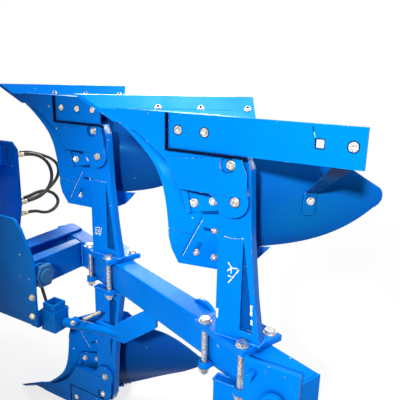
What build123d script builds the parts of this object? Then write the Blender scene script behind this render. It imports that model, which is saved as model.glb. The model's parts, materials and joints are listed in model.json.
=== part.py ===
"""Mounted reversible mouldboard plough: two right-turning bodies below the beam, two left-turning above.

Working frame while modelling: +X is the travel direction, +Y is left, +Z is up, in millimetres.
z = 0 is the height of the turnover axis, and x = y = 0 is the front end of the rear landside's outer face.
At the end every piece moves by one shift, so that the finished plough stands on z = 0.
"""
import os
from math import atan2, cos, degrees, hypot, radians, sin, tan

from build123d import *

os.makedirs("parts", exist_ok=True)

# ---------------------------------------------------------------- driving dimensions
furrow_width = 350          # sideways step from one body to the next
body_pitch = 900            # step along the travel direction
axis_to_sole = 869          # turnover axis to the sole of a landside
share_drop = 40             # cutting edge beyond the sole
mirror_gap = 0.3            # gap where a curved face backs a plate
bearing_gap = 0.05          # radial play of a pin in its bore

beam_half_height = 72
beam_half_width = 48
beam_wall = 10
beam_cap = 8
beam_offset = 92.4          # beam centre line at the leg, from the landside's face
leg_station = -253          # leg's pivot bolt, along travel from the landside's front end
beam_front_x = 1190
beam_tail = 307             # beam end behind the rear leg station

# plough body, in local sizes: u forward, v towards the ploughed side, w up from the sole
share_angle = 34.1          # cutting edge to travel direction, degrees
share_slope = 40            # share face to the ground, across its edge
share_thickness = 12
share_point_u = 431
share_span = 380            # working width of the share, sideways
share_top_w = 50
board_thickness = 8
board_reach = 440           # how far sideways the level lines run
board_width = 400           # widest part of a body, sideways
board_hollow = 12           # depth of the hollow in a level line
joint_gap = 1.5             # open joint between neighbouring panels
landside_height = 121
landside_thickness = 12
landside_long = 653
landside_short = 279
landside_gap = 3            # open joint between landside and frog
landside_bolt_w = 57        # bolt row above the sole
tail_hole_u = -522
square_hole = 26
frog_thickness = 17
frog_pad = 14
raised_face = 3             # label plate standing out of the frog
flange_thickness = 16
flange_pocket = 8
bracket_plate = 6
slot_width = 12
lug_radius = 54
notch_radius = 28
brace_plate = 8
brace_width = 66
brace_foot_width = 40
brace_foot_u = (-449, -414)
brace_foot_w = (267, 345)
leg_thickness = 40
leg_recess = 15
base_plate_length = 270
base_plate_width = 190
base_plate_thickness = 24
clamp_bar_width = 46
station_bolt_along = 202
station_bolt_across = 137
station_bolt_radius = 12
station_nut_radius = 21

# turnover axis and the pieces that turn on it
axis_y = -180
shaft_radius = 45
shaft_rear_x = 873
arm_half_height = beam_half_height
inner_arm_x = (905, 975)
outer_arm_x = (1075, 1160)
bearing_x = (1195, 1335)
bearing_outer_radius = 75
crank_radius = 150
crank_half_width = 45
crank_x = (1345, 1365)
swing_thickness = 15
gusset_thickness = 12
socket_at = (805, -180, -127)   # centre of the socket's mouth
socket_half = (38, 47)      # upper and lower tube
sleeve_radius = 24
sleeve_end = (440, -304, -262)
adjuster_plate_y = (-290, -270)

# turnover cylinder
cylinder_x = 1410
cylinder_anchor_z = 520
cylinder_radius = 38
cylinder_end = 322          # gland's end, along the cylinder from its anchor
cylinder_rod_radius = 20
rod_start = 262             # rod's inner end, from the anchor
cylinder_bore_start = 80
anchor_pin_radius = 17
eye_radius = 36
port_radius = 14

# headstock for a category II three-point linkage
side_plate_spacing = 410    # between the inner faces
side_plate_thickness = 20
bearing_plate_x = (1297, 1327)
lower_pin_spread = 825      # between the shoulders of the lower link pins
lower_pin_radius = 14.25
lower_pin_length = 97
cross_shaft_x = 1620
cross_shaft_z = -200
cross_shaft_radius = 32
mast_height = 610
top_pin_hole_radius = 12.75
top_link_gap = 54
top_link_x = 1625
ear_thickness = 20
stop_screw_radius = 12

# parking stand
stand_x = 1500
stand_pivot_z = -120
stand_half = 22
stand_foot = 12
stand_pin_radius = 12
stand_clearance = 20        # stand tube to the headstock's side plate
stand_above_pin = 28

# depth wheel
wheel_radius = 290
wheel_half_width = 90
wheel_hub_radius = 42
axle_radius = 20
rim_radius = 165
rim_plate = 8
wheel_lead = 200            # wheel centre ahead of its arm's pivot
wheel_pivot = (-480, 0)     # x and z
wheel_arm_width = 80
wheel_pin_radius = 25
bracket_gap = 3.5           # wheel bracket to the widest point of the beam's left face
bracket_thickness = 20
arm_gap = 11                # wheel arm to its bracket
wheel_arm_thickness = 24
wheel_offset = 103          # wheel's middle from the arm's outer face

# hydraulic hoses
hose_radius = 10
fitting_radius = 15
fitting_length = 25

beam_slope = furrow_width / body_pitch
beam_rear_x = leg_station - beam_tail
beam_half_across = beam_half_width * hypot(1, beam_slope)
floor_z = -(axis_to_sole + share_drop)


def side_plate(points, v0, v1):
    """Plate parallel to the landside, between the distances v0 and v1, from (u, w) points."""
    face = Polygon(*points, align=None)
    return extrude(Plane.XZ.offset(v0) * face, amount=v1 - v0, dir=(0, -1, 0))


def edge_plate(edges, v0, v1):
    """The same, from a closed run of lines and arcs."""
    face = make_face(Curve() + edges)
    return extrude(Plane.XZ.offset(v0) * face, amount=v1 - v0, dir=(0, -1, 0))


def box(x0, x1, y0, y1, z0, z1):
    """Box between two corners."""
    return Pos((x0 + x1) / 2, (y0 + y1) / 2, (z0 + z1) / 2) * Box(x1 - x0, y1 - y0, z1 - z0)


def rod(start, end, radius):
    """Round bar from one point to another."""
    start, end = Vector(*start), Vector(*end)
    span = end - start
    plane = Plane(origin=start, z_dir=span.normalized())
    return extrude(plane * Circle(radius), amount=span.length)


# ---------------------------------------------------------------- plough body
# Heights of the board's level lines. columns: height w, front edge u, angle to travel, level thickness
BOARD_LEVELS = [
    (45, 242, 34.1, 10.8),
    (116, 131, 34.5, 9.8),
    (193, 58, 33.0, 8.7),
    (290, 20, 31.0, 8.1),
    (409, 4, 33.0, 8.0),
    (489, 5, 39.0, 8.2),
    (580, 14, 42.0, 8.8),
]
board_foot_w = share_top_w + 1
pivot_bolt = (-253, 272)
shear_bolt = (-230, 154)


def board_section(w, front_u, angle, level_thickness, near, far):
    """Closed level section of the board between two offsets behind its front face."""
    a = radians(angle)
    along = Vector(-cos(a), -sin(a))
    back = Vector(-sin(a), cos(a))
    scale = level_thickness / board_thickness
    start = Vector(front_u, 0) - along * 50
    end = Vector(front_u, 0) + along * (board_reach / sin(a))
    middle = (start + end) * 0.5 + back * board_hollow
    n, f = back * (near * scale), back * (far * scale)
    edges = [
        ThreePointArc(start + n, middle + n, end + n),
        Line(end + n, end + f),
        ThreePointArc(end + f, middle + f, start + f),
        Line(start + f, start + n),
    ]
    return Pos(0, 0, w) * make_face(Curve() + edges)


def board_sheet(near, far):
    """The whole ruled-through sheet behind the board's front face, from offset near to far."""
    return loft([board_section(*row, near, far) for row in BOARD_LEVELS])


def share_prism(near, far, w0, w1):
    """Bar along the cutting edge, between two offsets behind the share's face and two heights."""
    a = radians(share_angle)
    rise = tan(radians(share_slope))
    unit = 1 / sin(radians(share_slope))
    low, high = w0, w1
    s_low = (low + share_drop) / rise
    s_high = (high + share_drop) / rise
    profile = [
        (s_low + near * unit, low),
        (s_low + far * unit, low),
        (s_high + far * unit, high),
        (s_high + near * unit, high),
    ]
    length = share_span / sin(a)
    lead = 60 / sin(a)
    point = Vector(share_point_u, 0, 0)
    along = Vector(-cos(a), -sin(a), 0)
    back = Vector(-sin(a), cos(a), 0)
    plane = Plane(origin=point - along * lead, x_dir=back, z_dir=along)
    flip = 1 if plane.y_dir.Z > 0 else -1
    face = plane * Polygon(*[(s, flip * w) for s, w in profile], align=None)
    return extrude(face, amount=length + lead, dir=along)


ploughed_side = box(-900, 600, -board_width, 0, -200, 700)
BACK = board_thickness + mirror_gap

# Outline of the board below its trashboard, seen square to the landside
BOARD_EDGES = [
    Line((300, board_foot_w), (-185, board_foot_w)),
    Line((-185, board_foot_w), (-522, 185)),
    Line((-522, 185), (-628, 249)),
    ThreePointArc((-628, 249), (-643, 278), (-621, 317)),
    ThreePointArc((-621, 317), (-499, 416), (-313, 476)),
    Line((-313, 476), (-265, 482)),
    Line((-265, 482), (60, 389)),
    Line((60, 389), (300, 100)),
    Line((300, 100), (300, board_foot_w)),
]
TRASH_OUTLINE = [
    (60, 389 + joint_gap), (-265, 482 + joint_gap), (-302, 489), (-246, 556), (-200, 574), (-138, 574),
    (-32, 541), (5, 411),
]
# Front strip of the board, bolted on as the shin
SHIN_BAND = [
    (300, share_top_w), (128, share_top_w), (20, 116), (-59, 193), (-96, 290), (-110, 350), (-110, 500),
    (60, 500), (60, 300), (300, 100),
]


def make_share():
    share = share_prism(0, share_thickness, -share_drop, share_top_w)
    return share & ploughed_side


def make_boards():
    sheet = board_sheet(0, board_thickness) & ploughed_side
    shin_zone = side_plate(SHIN_BAND, -10, 500)
    wider = side_plate([(u - joint_gap, w) for u, w in SHIN_BAND], -10, 500) + shin_zone
    whole = sheet & edge_plate(BOARD_EDGES, -10, 500)
    trash = sheet & side_plate(TRASH_OUTLINE, -10, 500)
    return whole & shin_zone, whole - wider, trash


# Outlines on the frog, (u, w)
rebate = landside_height + landside_gap
FROG_OUTLINE = [
    (228, 0), (-272, 0), (-272, rebate), (-303, 247), (-303, 258), (-47, 258), (-20, 208), (13, 160),
    (70, 118), (140, 75), (215, 52),
]
RAISED_OUTLINE = [(13, rebate + 30), (-47, 255), (-302, 255), (-300, 178), (-278, rebate + 3)]
LUG_ROOT = [(-160, 256), (-185, 272), (-208, 304), (-270, 304), (-270, 256)]
PAD_OUTLINE = [(228, 0), (-180, 0), (-180, 258), (-60, 258), (-20, 208), (70, 118), (215, 52)]
FLANGE_OUTLINE = [(-50, 230), (-50, 268), (-72, 343), (-225, 328), (-225, 230)]
POCKET_OUTLINE = [(-66, 262), (-86, 360), (-240, 360), (-240, 262)]
web_w = (66, 226)           # undersides of the two webs behind the frog's plate
web_thickness = 14


def make_frog():
    plate = side_plate(FROG_OUTLINE, 0, frog_thickness)
    lug = Plane.XZ * Pos(*pivot_bolt) * Circle(lug_radius)
    plate += extrude(lug, amount=frog_thickness, dir=(0, -1, 0))
    plate += side_plate(LUG_ROOT, 0, frog_thickness)
    plate += side_plate(PAD_OUTLINE, frog_thickness, frog_thickness + frog_pad)
    plate -= box(-400, landside_gap, -landside_thickness, 0, -1, rebate)
    webs = [box(-180, 330, -240, -frog_thickness, w, w + web_thickness) for w in web_w]
    upper = plate & box(-500, 500, -100, 0, board_foot_w, 700)
    upper = (upper + webs[0] + webs[1]) & board_sheet(BACK, board_width)
    flange = board_sheet(BACK, BACK + flange_thickness) & side_plate(FLANGE_OUTLINE, 0, board_width)
    pocket = board_sheet(BACK + flange_thickness - flange_pocket, BACK + 60)
    upper += flange - (pocket & side_plate(POCKET_OUTLINE, 0, board_width))
    mean = radians(35)
    behind = Pos(-sin(mean) * 2 * mirror_gap, cos(mean) * 2 * mirror_gap, 0)
    upper -= behind * board_sheet(0, board_thickness)
    seat_reach = box(-180, 600, -250, 0, 4, board_foot_w)
    seat = share_prism(share_thickness + mirror_gap, share_thickness + 26, 4, board_foot_w) & seat_reach
    lower = plate & box(-500, 500, -100, 0, -1, board_foot_w)
    lower = lower & share_prism(share_thickness + mirror_gap, 800, 0, board_foot_w)
    body = upper + lower + seat
    body += side_plate(RAISED_OUTLINE, -raised_face, 0)
    notch = Plane.XZ.offset(-raised_face - 1) * Pos(*shear_bolt) * Circle(notch_radius)
    body -= extrude(notch, amount=raised_face + 7, dir=(0, -1, 0))
    return body


def make_landside(length):
    plate = box(-length, 0, -landside_thickness, 0, 0, landside_height)
    if length > abs(tail_hole_u):
        half = square_hole / 2
        plate -= box(tail_hole_u - half, tail_hole_u + half, -landside_thickness - 1, 1,
                     landside_bolt_w - half, landside_bolt_w + half)
    return plate


base_w = axis_to_sole - beam_half_height - base_plate_thickness
leg_bend_w = base_w - 173   # above this the leg widens towards its foot
LEG_OUTLINE = [
    (-193, base_w), (-193, 330), (-200, 240), (-212, 150), (-230, 126), (-288, 124), (-304, 165),
    (-311, 277), (-318, 400), (-340, leg_bend_w), (-367, base_w),
]
LEG_POCKET = [(-289, 395), (-289, base_w - 40), (-338, base_w - 40), (-322, leg_bend_w)]


def beam_plane(z):
    """Plane at height z, centred on the beam at the rear leg, its x along the beam."""
    centre_x = leg_station + 10
    centre_y = -beam_offset - beam_slope * (centre_x - leg_station)
    return Plane(origin=(centre_x, centre_y, z), x_dir=(1, -beam_slope, 0), z_dir=(0, 0, 1))


def make_leg(upper):
    """Leg with its clamp: a full base plate above the beam, two tied bars below it."""
    leg = side_plate(LEG_OUTLINE, frog_thickness + mirror_gap, frog_thickness + mirror_gap + leg_thickness)
    leg -= side_plate(LEG_POCKET, frog_thickness, frog_thickness + mirror_gap + leg_recess)
    if upper:
        foot = Rectangle(base_plate_length, base_plate_width)
    else:
        foot = Rectangle(station_bolt_along, leg_thickness * 2)
        for x in (-1, 1):
            bar = SlotCenterToCenter(station_bolt_across, clamp_bar_width, rotation=90)
            foot += Pos(x * station_bolt_along / 2, 0) * bar
    plate = extrude(beam_plane(base_w) * foot, amount=base_plate_thickness, dir=(0, 0, 1))
    for x in (-1, 1):
        for y in (-1, 1):
            spot = Pos(x * station_bolt_along / 2, y * station_bolt_across / 2)
            hole = beam_plane(base_w - 1) * spot * Circle(station_bolt_radius + 1)
            plate -= extrude(hole, amount=base_plate_thickness + 2, dir=(0, 0, 1))
    return leg + plate


# Plate joining the trashboard to the board, and its slots for adjusting. columns: start (u, w), end (u, w)
BRACKET_OUTLINE = [(-112, 350), (-112, 369), (-47, 515), (-140, 562), (-235, 562), (-235, 350)]
BRACKET_SLOTS = [
    ((-122, 404), (-152, 412)),
    ((-104, 462), (-88, 496)),
]


def make_trash_bracket():
    plate = board_sheet(BACK, BACK + bracket_plate) & side_plate(BRACKET_OUTLINE, 0, board_width)
    for start, end in BRACKET_SLOTS:
        middle = ((start[0] + end[0]) / 2, (start[1] + end[1]) / 2)
        run = hypot(end[0] - start[0], end[1] - start[1])
        turn = degrees(atan2(end[1] - start[1], end[0] - start[0]))
        slot = Plane.XZ * Pos(*middle) * SlotCenterToCenter(run, slot_width, rotation=turn)
        plate -= extrude(slot, amount=board_width, dir=(0, -1, 0))
    return plate


def make_brace():
    """Strap from the inner side of the long landside to the back of the board's tail."""
    v0 = landside_thickness
    rear = -landside_long + 8
    flange_top = landside_height - 20
    flange = box(rear, rear + brace_width, -v0 - brace_plate, -v0, 20, flange_top)
    u0, u1 = brace_foot_u
    w0, w1 = brace_foot_w
    foot = side_plate([(u0, w0), (u1, w0), (u1, w1), (u0, w1)], 0, 500)
    foot = foot & board_sheet(BACK, BACK + brace_plate)
    a = radians(31)
    low_point = (foot & box(u0, u1, -500, 0, w0, w0 + 3)).center()
    low = Plane(origin=low_point, x_dir=(cos(a), sin(a), 0), z_dir=(0, 0, 1))
    top = Plane(origin=(rear + brace_width / 2, -v0 - brace_plate / 2, flange_top - 1), x_dir=(1, 0, 0),
                z_dir=(0, 0, 1))
    arm = loft([top * Rectangle(brace_width, brace_plate), low * Rectangle(brace_foot_width, brace_plate)],
               ruled=True)
    return flange + (arm & board_sheet(BACK, board_width)) + foot


def place(shape, station, upper):
    """Put a local body piece at the rear (0) or front (1) station, below or above the beam."""
    shape = Pos(station * body_pitch, -station * furrow_width, -axis_to_sole) * shape
    if upper:
        shape = mirror(shape, about=Plane.XY)
    return shape


nodes = {}
share = make_share()
shin, board, trash = make_boards()
frog = make_frog()
bracket = make_trash_bracket()
brace = make_brace()
STATIONS = [("rear", 0, landside_long), ("front", 1, landside_short)]
trash_all, bracket_all, brace_all = [], [], []
for level, upper in (("lower", False), ("upper", True)):
    for name, station, length in STATIONS:
        tag = f"_{level}_{name}"
        nodes["share" + tag] = place(share, station, upper)
        nodes["shin" + tag] = place(shin, station, upper)
        nodes["moldboard" + tag] = place(board, station, upper)
        nodes["frog" + tag] = place(frog, station, upper)
        nodes["landside" + tag] = place(make_landside(length), station, upper)
        nodes["leg" + tag] = place(make_leg(upper), station, upper)
        trash_all.append(place(trash, station, upper))
        bracket_all.append(place(bracket, station, upper))
        if station == 0:
            brace_all.append(place(brace, station, upper))
nodes["trashboards"] = Compound(trash_all)
nodes["trashboard_brackets"] = Compound(bracket_all)
nodes["tail_braces"] = Compound(brace_all)


# ---------------------------------------------------------------- beam and cross arms
def beam_y(x):
    """Beam centre line."""
    return -beam_offset - beam_slope * (x - leg_station)


bracket_right = beam_y(beam_rear_x) + beam_half_across + bracket_gap
bracket_left = bracket_right + bracket_thickness
wheel_arm_right = bracket_left + arm_gap
wheel_arm_left = wheel_arm_right + wheel_arm_thickness
wheel_y = wheel_arm_left + wheel_offset
beam_turn = degrees(atan2(-beam_slope, 1))
beam_stretch = hypot(1, beam_slope)
beam_length = beam_stretch * (beam_front_x - beam_rear_x)
beam_mid_x = (beam_front_x + beam_rear_x) / 2
beam_at = Pos(beam_mid_x, beam_y(beam_mid_x), 0) * Rot(0, 0, beam_turn)
beam_outer = Box(beam_length, 2 * beam_half_width, 2 * beam_half_height)
beam_inner = Box(beam_length + 2, 2 * (beam_half_width - beam_wall), 2 * (beam_half_height - beam_wall))
nodes["main_beam"] = beam_at * (beam_outer - beam_inner)
beam_solid = beam_at * beam_outer
caps = []
for end in (-1, 1):
    cap = Box(beam_cap, 2 * beam_half_width, 2 * beam_half_height)
    caps.append(beam_at * Pos(end * (beam_length + beam_cap) / 2, 0, 0) * cap)


def left_of_beam(shape):
    """What stands on the beam's left once the beam is cut out of it."""
    return max((shape - beam_solid).solids(), key=lambda s: s.center().Y)


arm_shells = []
for x0, x1 in (inner_arm_x, outer_arm_x):
    arm = left_of_beam(box(x0, x1, beam_y(x1), axis_y + 70, -arm_half_height, arm_half_height))
    arm_shells.append(arm - rod((x0 - 1, axis_y, 0), (x1 + 1, axis_y, 0), shaft_radius))
nodes["cross_arms"] = Compound(arm_shells)

head_height, nut_height, thread_end = 15, 20, 30
station_bolts = []
bolt_reach = beam_half_height + base_plate_thickness
for station in (0, 1):
    for x in (-1, 1):
        for y in (-1, 1):
            spot = beam_plane(0) * Pos(x * station_bolt_along / 2, y * station_bolt_across / 2)
            bolt = Pos(station * body_pitch, -station * furrow_width, 0) * spot
            shank = Cylinder(station_bolt_radius, 2 * bolt_reach + thread_end,
                             align=(Align.CENTER, Align.CENTER, Align.MIN))
            hexagon = RegularPolygon(station_nut_radius, 6)
            piece = Pos(0, 0, -bolt_reach - thread_end) * shank
            piece += Pos(0, 0, bolt_reach) * extrude(hexagon, amount=head_height)
            piece += Pos(0, 0, -bolt_reach - nut_height) * extrude(hexagon, amount=nut_height)
            station_bolts.append(bolt * piece)
nodes["station_bolts"] = Compound(station_bolts)

# ---------------------------------------------------------------- turnover shaft, crank and swing plate
shaft = rod((shaft_rear_x, axis_y, 0), (crank_x[1], axis_y, 0), shaft_radius)
shaft += rod((inner_arm_x[0] - 22, axis_y, 0), (inner_arm_x[0], axis_y, 0), shaft_radius + 13)
shaft += rod((outer_arm_x[1], axis_y, 0), (bearing_x[0] - 5, axis_y, 0), shaft_radius + 25)
crank_face = Circle(shaft_radius + 25) + Pos(-crank_radius, 0) * Circle(crank_half_width)
crank_face += Pos(-crank_radius / 2, 0) * Rectangle(crank_radius, 2 * crank_half_width)
crank_plane = Plane(origin=(crank_x[0], axis_y, 0), x_dir=(0, 1, 0), z_dir=(1, 0, 0))
shaft += extrude(crank_plane * crank_face, amount=crank_x[1] - crank_x[0], dir=(1, 0, 0))
nodes["turnover_shaft"] = shaft

# Guard plate on the ends of the cross arms. columns: x from its rear edge, z
swing_y = axis_y + 70
swing_rear_x = shaft_rear_x - 33
SWING_OUTLINE = [(0, -240), (0, 104), (73, 256), (120, 300), (280, 300), (340, 200), (340, -240)]
swing_face = Polygon(*[(swing_rear_x + x, z) for x, z in SWING_OUTLINE], align=None)
swing_plane = Plane.XZ.offset(-swing_y - swing_thickness)
swing = extrude(swing_plane * swing_face, amount=swing_thickness, dir=(0, -1, 0))
nodes["swing_plate"] = swing

# Plates over and under the corner of beam and front arm. columns: x, distance left of the beam's centre line
GUSSET_OUTLINE = [(1060, 43), (1060, -87), (1200, -78), (1262, -19), (1215, 63), (1160, 122)]
gusset = Polygon(*[(x, beam_y(x) + y) for x, y in GUSSET_OUTLINE], align=None)
gusset_plates = []
for z0 in (arm_half_height, -arm_half_height - gusset_thickness):
    gusset_plates.append(extrude(Pos(0, 0, z0) * gusset, amount=gusset_thickness, dir=(0, 0, 1)))
nodes["corner_gusset"] = Compound(gusset_plates + caps)

# Front furrow adjuster: socket of two square tubes on the swing plate, and a threaded spindle in a sleeve
socket_x, socket_y, socket_z = socket_at
mouth, body = socket_half
mouth_height, body_height, socket_wall = 34, 110, 9
hole = mouth - socket_wall
body_top = socket_z - mouth_height
body_low = body_top - body_height


def socket_box(half, z0, z1):
    """Upright square block on the socket's axis."""
    return box(socket_x - half, socket_x + half, socket_y - half, socket_y + half, z0, z1)


block = socket_box(mouth, body_top, socket_z) + socket_box(body, body_low, body_top)
block -= socket_box(hole, socket_z - 80, socket_z + 1)
link = box(socket_x + body - 1, swing_rear_x + 60, socket_y - 25, swing_y, body_low + 15, body_low + 75)
sleeve_start = (socket_x - body + 2, socket_y - 15, body_low + 38)
plate_right, plate_left = adjuster_plate_y
sleeve = rod(sleeve_start, sleeve_end, sleeve_radius) - box(300, 700, -500, plate_left, -500, 0)
nodes["width_adjuster"] = block + link + sleeve

# Plate under the beam that carries the sleeve. columns: x, z
ADJUSTER_OUTLINE = [
    (306, -beam_half_height), (450, -172), (520, -225), (620, -225), (620, -290), (440, -290),
    (250, -150), (250, -beam_half_height),
]
adjuster_face = Plane.XZ.offset(-plate_left) * Polygon(*ADJUSTER_OUTLINE, align=None)
nodes["adjuster_bracket"] = extrude(adjuster_face, amount=plate_left - plate_right, dir=(0, -1, 0))

# ---------------------------------------------------------------- headstock
plate_in = side_plate_spacing / 2
plate_out = plate_in + side_plate_thickness
left_y, right_y = axis_y + plate_in, axis_y - plate_in
top_link_z = cross_shaft_z + mast_height
bridge_x = (1540, 1560)
plate_front = top_link_x - top_pin_hole_radius - 20     # side plates stay clear of the top link pin


def along_x(x0, x1, y, z, radius):
    """Round bar along the travel direction."""
    return rod((x0, y, z), (x1, y, z), radius)


def along_y(y0, y1, x, z, radius):
    """Round bar across the travel direction."""
    return rod((x, y0, z), (x, y1, z), radius)


SIDE_OUTLINE = [
    (1290, -150), (1420, -170), (1560, -262), (1680, -262), (1690, -150), (1670, 120), (plate_front, 260),
    (plate_front, 520), (1560, 600), (1300, 600), (1262, 560), (1262, 250), (1290, 120),
]
side_plates = []
for face_y in (left_y + side_plate_thickness, right_y):
    plate = extrude(Plane.XZ.offset(-face_y) * Polygon(*SIDE_OUTLINE, align=None),
                    amount=side_plate_thickness, dir=(0, -1, 0))
    shaft_hole = along_y(axis_y - 300, axis_y + 300, cross_shaft_x, cross_shaft_z, cross_shaft_radius)
    side_plates.append(plate - shaft_hole)
nodes["headstock_side_plates"] = Compound(side_plates)

bearing_plate = box(bearing_plate_x[0], bearing_plate_x[1], right_y, left_y, -150, 150)
bearing_plate -= along_x(bearing_plate_x[0] - 1, bearing_plate_x[1] + 1, axis_y, 0, bearing_outer_radius)
cross = [bearing_plate]
eye_half, anchor_plate = 46, 18
for x0 in (cylinder_x - eye_half - anchor_plate, cylinder_x + eye_half):
    x1 = x0 + anchor_plate
    plate = box(x0, x1, right_y, left_y, cylinder_anchor_z - 50, cylinder_anchor_z + 50)
    cross.append(plate - along_x(x0 - 1, x1 + 1, axis_y, cylinder_anchor_z, anchor_pin_radius))
cross.append(box(bridge_x[0], bridge_x[1], right_y, left_y, top_link_z - 70, top_link_z + 70))
nodes["headstock_cross_plates"] = Compound(cross)

tube = along_x(bearing_x[0], bearing_x[1], axis_y, 0, bearing_outer_radius)
tube -= along_x(bearing_x[0] - 1, bearing_x[1] + 1, axis_y, 0, shaft_radius + bearing_gap)
nodes["bearing_tube"] = tube

pin_half = eye_half + anchor_plate + 8
pin_ends = (cylinder_x - pin_half, cylinder_x + pin_half)
nodes["cylinder_anchor_pin"] = along_x(*pin_ends, axis_y, cylinder_anchor_z, anchor_pin_radius)

half_spread = lower_pin_spread / 2
pin_end = half_spread + lower_pin_length
shaft_at = (cross_shaft_x, cross_shaft_z)
lower_link = along_y(axis_y - half_spread, axis_y + half_spread, *shaft_at, cross_shaft_radius)
lower_link += along_y(axis_y - pin_end, axis_y + pin_end, *shaft_at, lower_pin_radius)
nodes["cross_shaft"] = lower_link

# columns: x, half height
EAR_OUTLINE = [(bridge_x[1], 60), (top_link_x, 45), (top_link_x + 35, 25)]
ear_points = [(x, top_link_z + h) for x, h in EAR_OUTLINE]
ear_points += [(x, top_link_z - h) for x, h in EAR_OUTLINE[::-1]]
ears = []
for face_y in (axis_y + top_link_gap / 2 + ear_thickness, axis_y - top_link_gap / 2):
    ear_face = Plane.XZ.offset(-face_y) * Polygon(*ear_points, align=None)
    ear = extrude(ear_face, amount=ear_thickness, dir=(0, -1, 0))
    ears.append(ear - along_y(axis_y - 100, axis_y + 100, top_link_x, top_link_z, top_pin_hole_radius))
nodes["top_link_ears"] = Compound(ears)

# Shelves and screws that the crank lands on at either end of its half turn
stops = []
crank_mid_x = (crank_x[0] + crank_x[1]) / 2
screw_top = -crank_half_width - 0.4
for side in (-1, 1):
    y = axis_y + side * crank_radius
    shelf = box(bearing_plate_x[1], crank_x[1] + 10, y - 25, y + 25, screw_top - 70, screw_top - 50)
    screw = rod((crank_mid_x, y, screw_top - 85), (crank_mid_x, y, screw_top), stop_screw_radius)
    stops.append(shelf + screw)
nodes["stop_screws"] = Compound(stops)

# ---------------------------------------------------------------- turnover cylinder
eye_y = axis_y - crank_radius
anchor = Vector(cylinder_x, axis_y, cylinder_anchor_z)
eye = Vector(cylinder_x, eye_y, 0)
aim = (eye - anchor).normalized()
barrel_half = eye_half - 2
barrel = along_x(cylinder_x - barrel_half, cylinder_x + barrel_half, axis_y, cylinder_anchor_z, eye_radius)
barrel += rod(anchor + aim * 25, anchor + aim * (cylinder_end - 20), cylinder_radius)
barrel += rod(anchor + aim * (cylinder_end - 20), anchor + aim * cylinder_end, cylinder_radius + 4)
barrel -= along_x(cylinder_x - eye_half, cylinder_x + eye_half, axis_y, cylinder_anchor_z,
                  anchor_pin_radius + bearing_gap)
barrel -= rod(anchor + aim * cylinder_bore_start, anchor + aim * (cylinder_end + 10),
              cylinder_rod_radius + bearing_gap)
port_in, port_out = cylinder_radius - 8, cylinder_radius + 24
for at in (cylinder_bore_start - 10, cylinder_end - 35):
    port = anchor + aim * at
    barrel += rod(port + Vector(0, -port_in, 0), port + Vector(0, -port_out, 0), port_radius)
nodes["cylinder_barrel"] = barrel

rod_piece = rod(anchor + aim * rod_start, eye - aim * 30, cylinder_rod_radius)
rod_piece += along_x(cylinder_x - 22, cylinder_x + 22, eye_y, 0, eye_radius + 2)
rod_piece += along_x(crank_x[1] + 1, cylinder_x + 34, eye_y, 0, anchor_pin_radius + 1)
nodes["cylinder_rod"] = rod_piece

# ---------------------------------------------------------------- parking stand
stand_y = axis_y + plate_out + stand_clearance + stand_half
leg_tube = box(stand_x - stand_half, stand_x + stand_half, stand_y - stand_half, stand_y + stand_half,
               floor_z + stand_foot, stand_pivot_z + stand_above_pin)
leg_tube -= along_x(stand_x - 40, stand_x + 40, stand_y, stand_pivot_z, stand_pin_radius + bearing_gap)
leg_tube += box(stand_x - 80, stand_x + 80, stand_y - 80, stand_y + 80, floor_z, floor_z + stand_foot)
nodes["stand_leg"] = leg_tube
lug_gap, lug_thickness = 0.5, 12
lug_out = stand_half + lug_gap + lug_thickness
lugs = along_x(stand_x - lug_out - 6, stand_x + lug_out + 6, stand_y, stand_pivot_z, stand_pin_radius)
for x0 in (stand_x - lug_out, stand_x + stand_half + lug_gap):
    lug_top, lug_low = stand_pivot_z + 24, stand_pivot_z - 24
    lugs += box(x0, x0 + lug_thickness, axis_y + plate_out, stand_y + 24, lug_low, lug_top)
nodes["stand_bracket"] = lugs

# ---------------------------------------------------------------- depth wheel
pivot_x, pivot_z = wheel_pivot
wheel_z = floor_z + wheel_radius
wheel_x = pivot_x + wheel_lead
arm_reach = hypot(wheel_lead, pivot_z - wheel_z)
arm_dir = Vector(wheel_lead, 0, wheel_z - pivot_z).normalized()
arm_normal = Vector(-arm_dir.Z, 0, arm_dir.X)
wheel_bracket = left_of_beam(box(pivot_x - 60, pivot_x + 50, beam_y(pivot_x) - 60, bracket_right, -56, 56))
wheel_bracket += box(pivot_x - 75, pivot_x + 115, bracket_right, bracket_left, -118, 118)
wheel_bracket += along_y(bracket_left, wheel_arm_left + 14, pivot_x, pivot_z, wheel_pin_radius)
stop_along, stop_radius = 100, 12
stop_side = wheel_arm_width / 2 + stop_radius + 0.3
for side in (-1, 1):
    spot = arm_dir * stop_along + arm_normal * stop_side
    wheel_bracket += along_y(bracket_left, wheel_arm_left + 6, pivot_x + spot.X, side * spot.Z, stop_radius)
nodes["wheel_bracket"] = wheel_bracket

arm_plane = Plane(origin=(pivot_x, wheel_arm_left, pivot_z), x_dir=arm_dir, z_dir=(0, -1, 0))
arm_face = Pos(arm_reach / 2, 0) * SlotCenterToCenter(arm_reach, wheel_arm_width)
wheel_arm = extrude(arm_plane * arm_face, amount=wheel_arm_thickness, dir=(0, -1, 0))
wheel_arm -= along_y(0, 300, pivot_x, pivot_z, wheel_pin_radius + bearing_gap)
hub_half = wheel_half_width - 30
wheel_arm += along_y(wheel_arm_left - 5, wheel_y + hub_half + 2, wheel_x, wheel_z, axle_radius)
wheel_arm += along_y(wheel_arm_left, wheel_y - hub_half - 1, wheel_x, wheel_z, axle_radius + 10)
nodes["wheel_arm"] = wheel_arm

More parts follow.
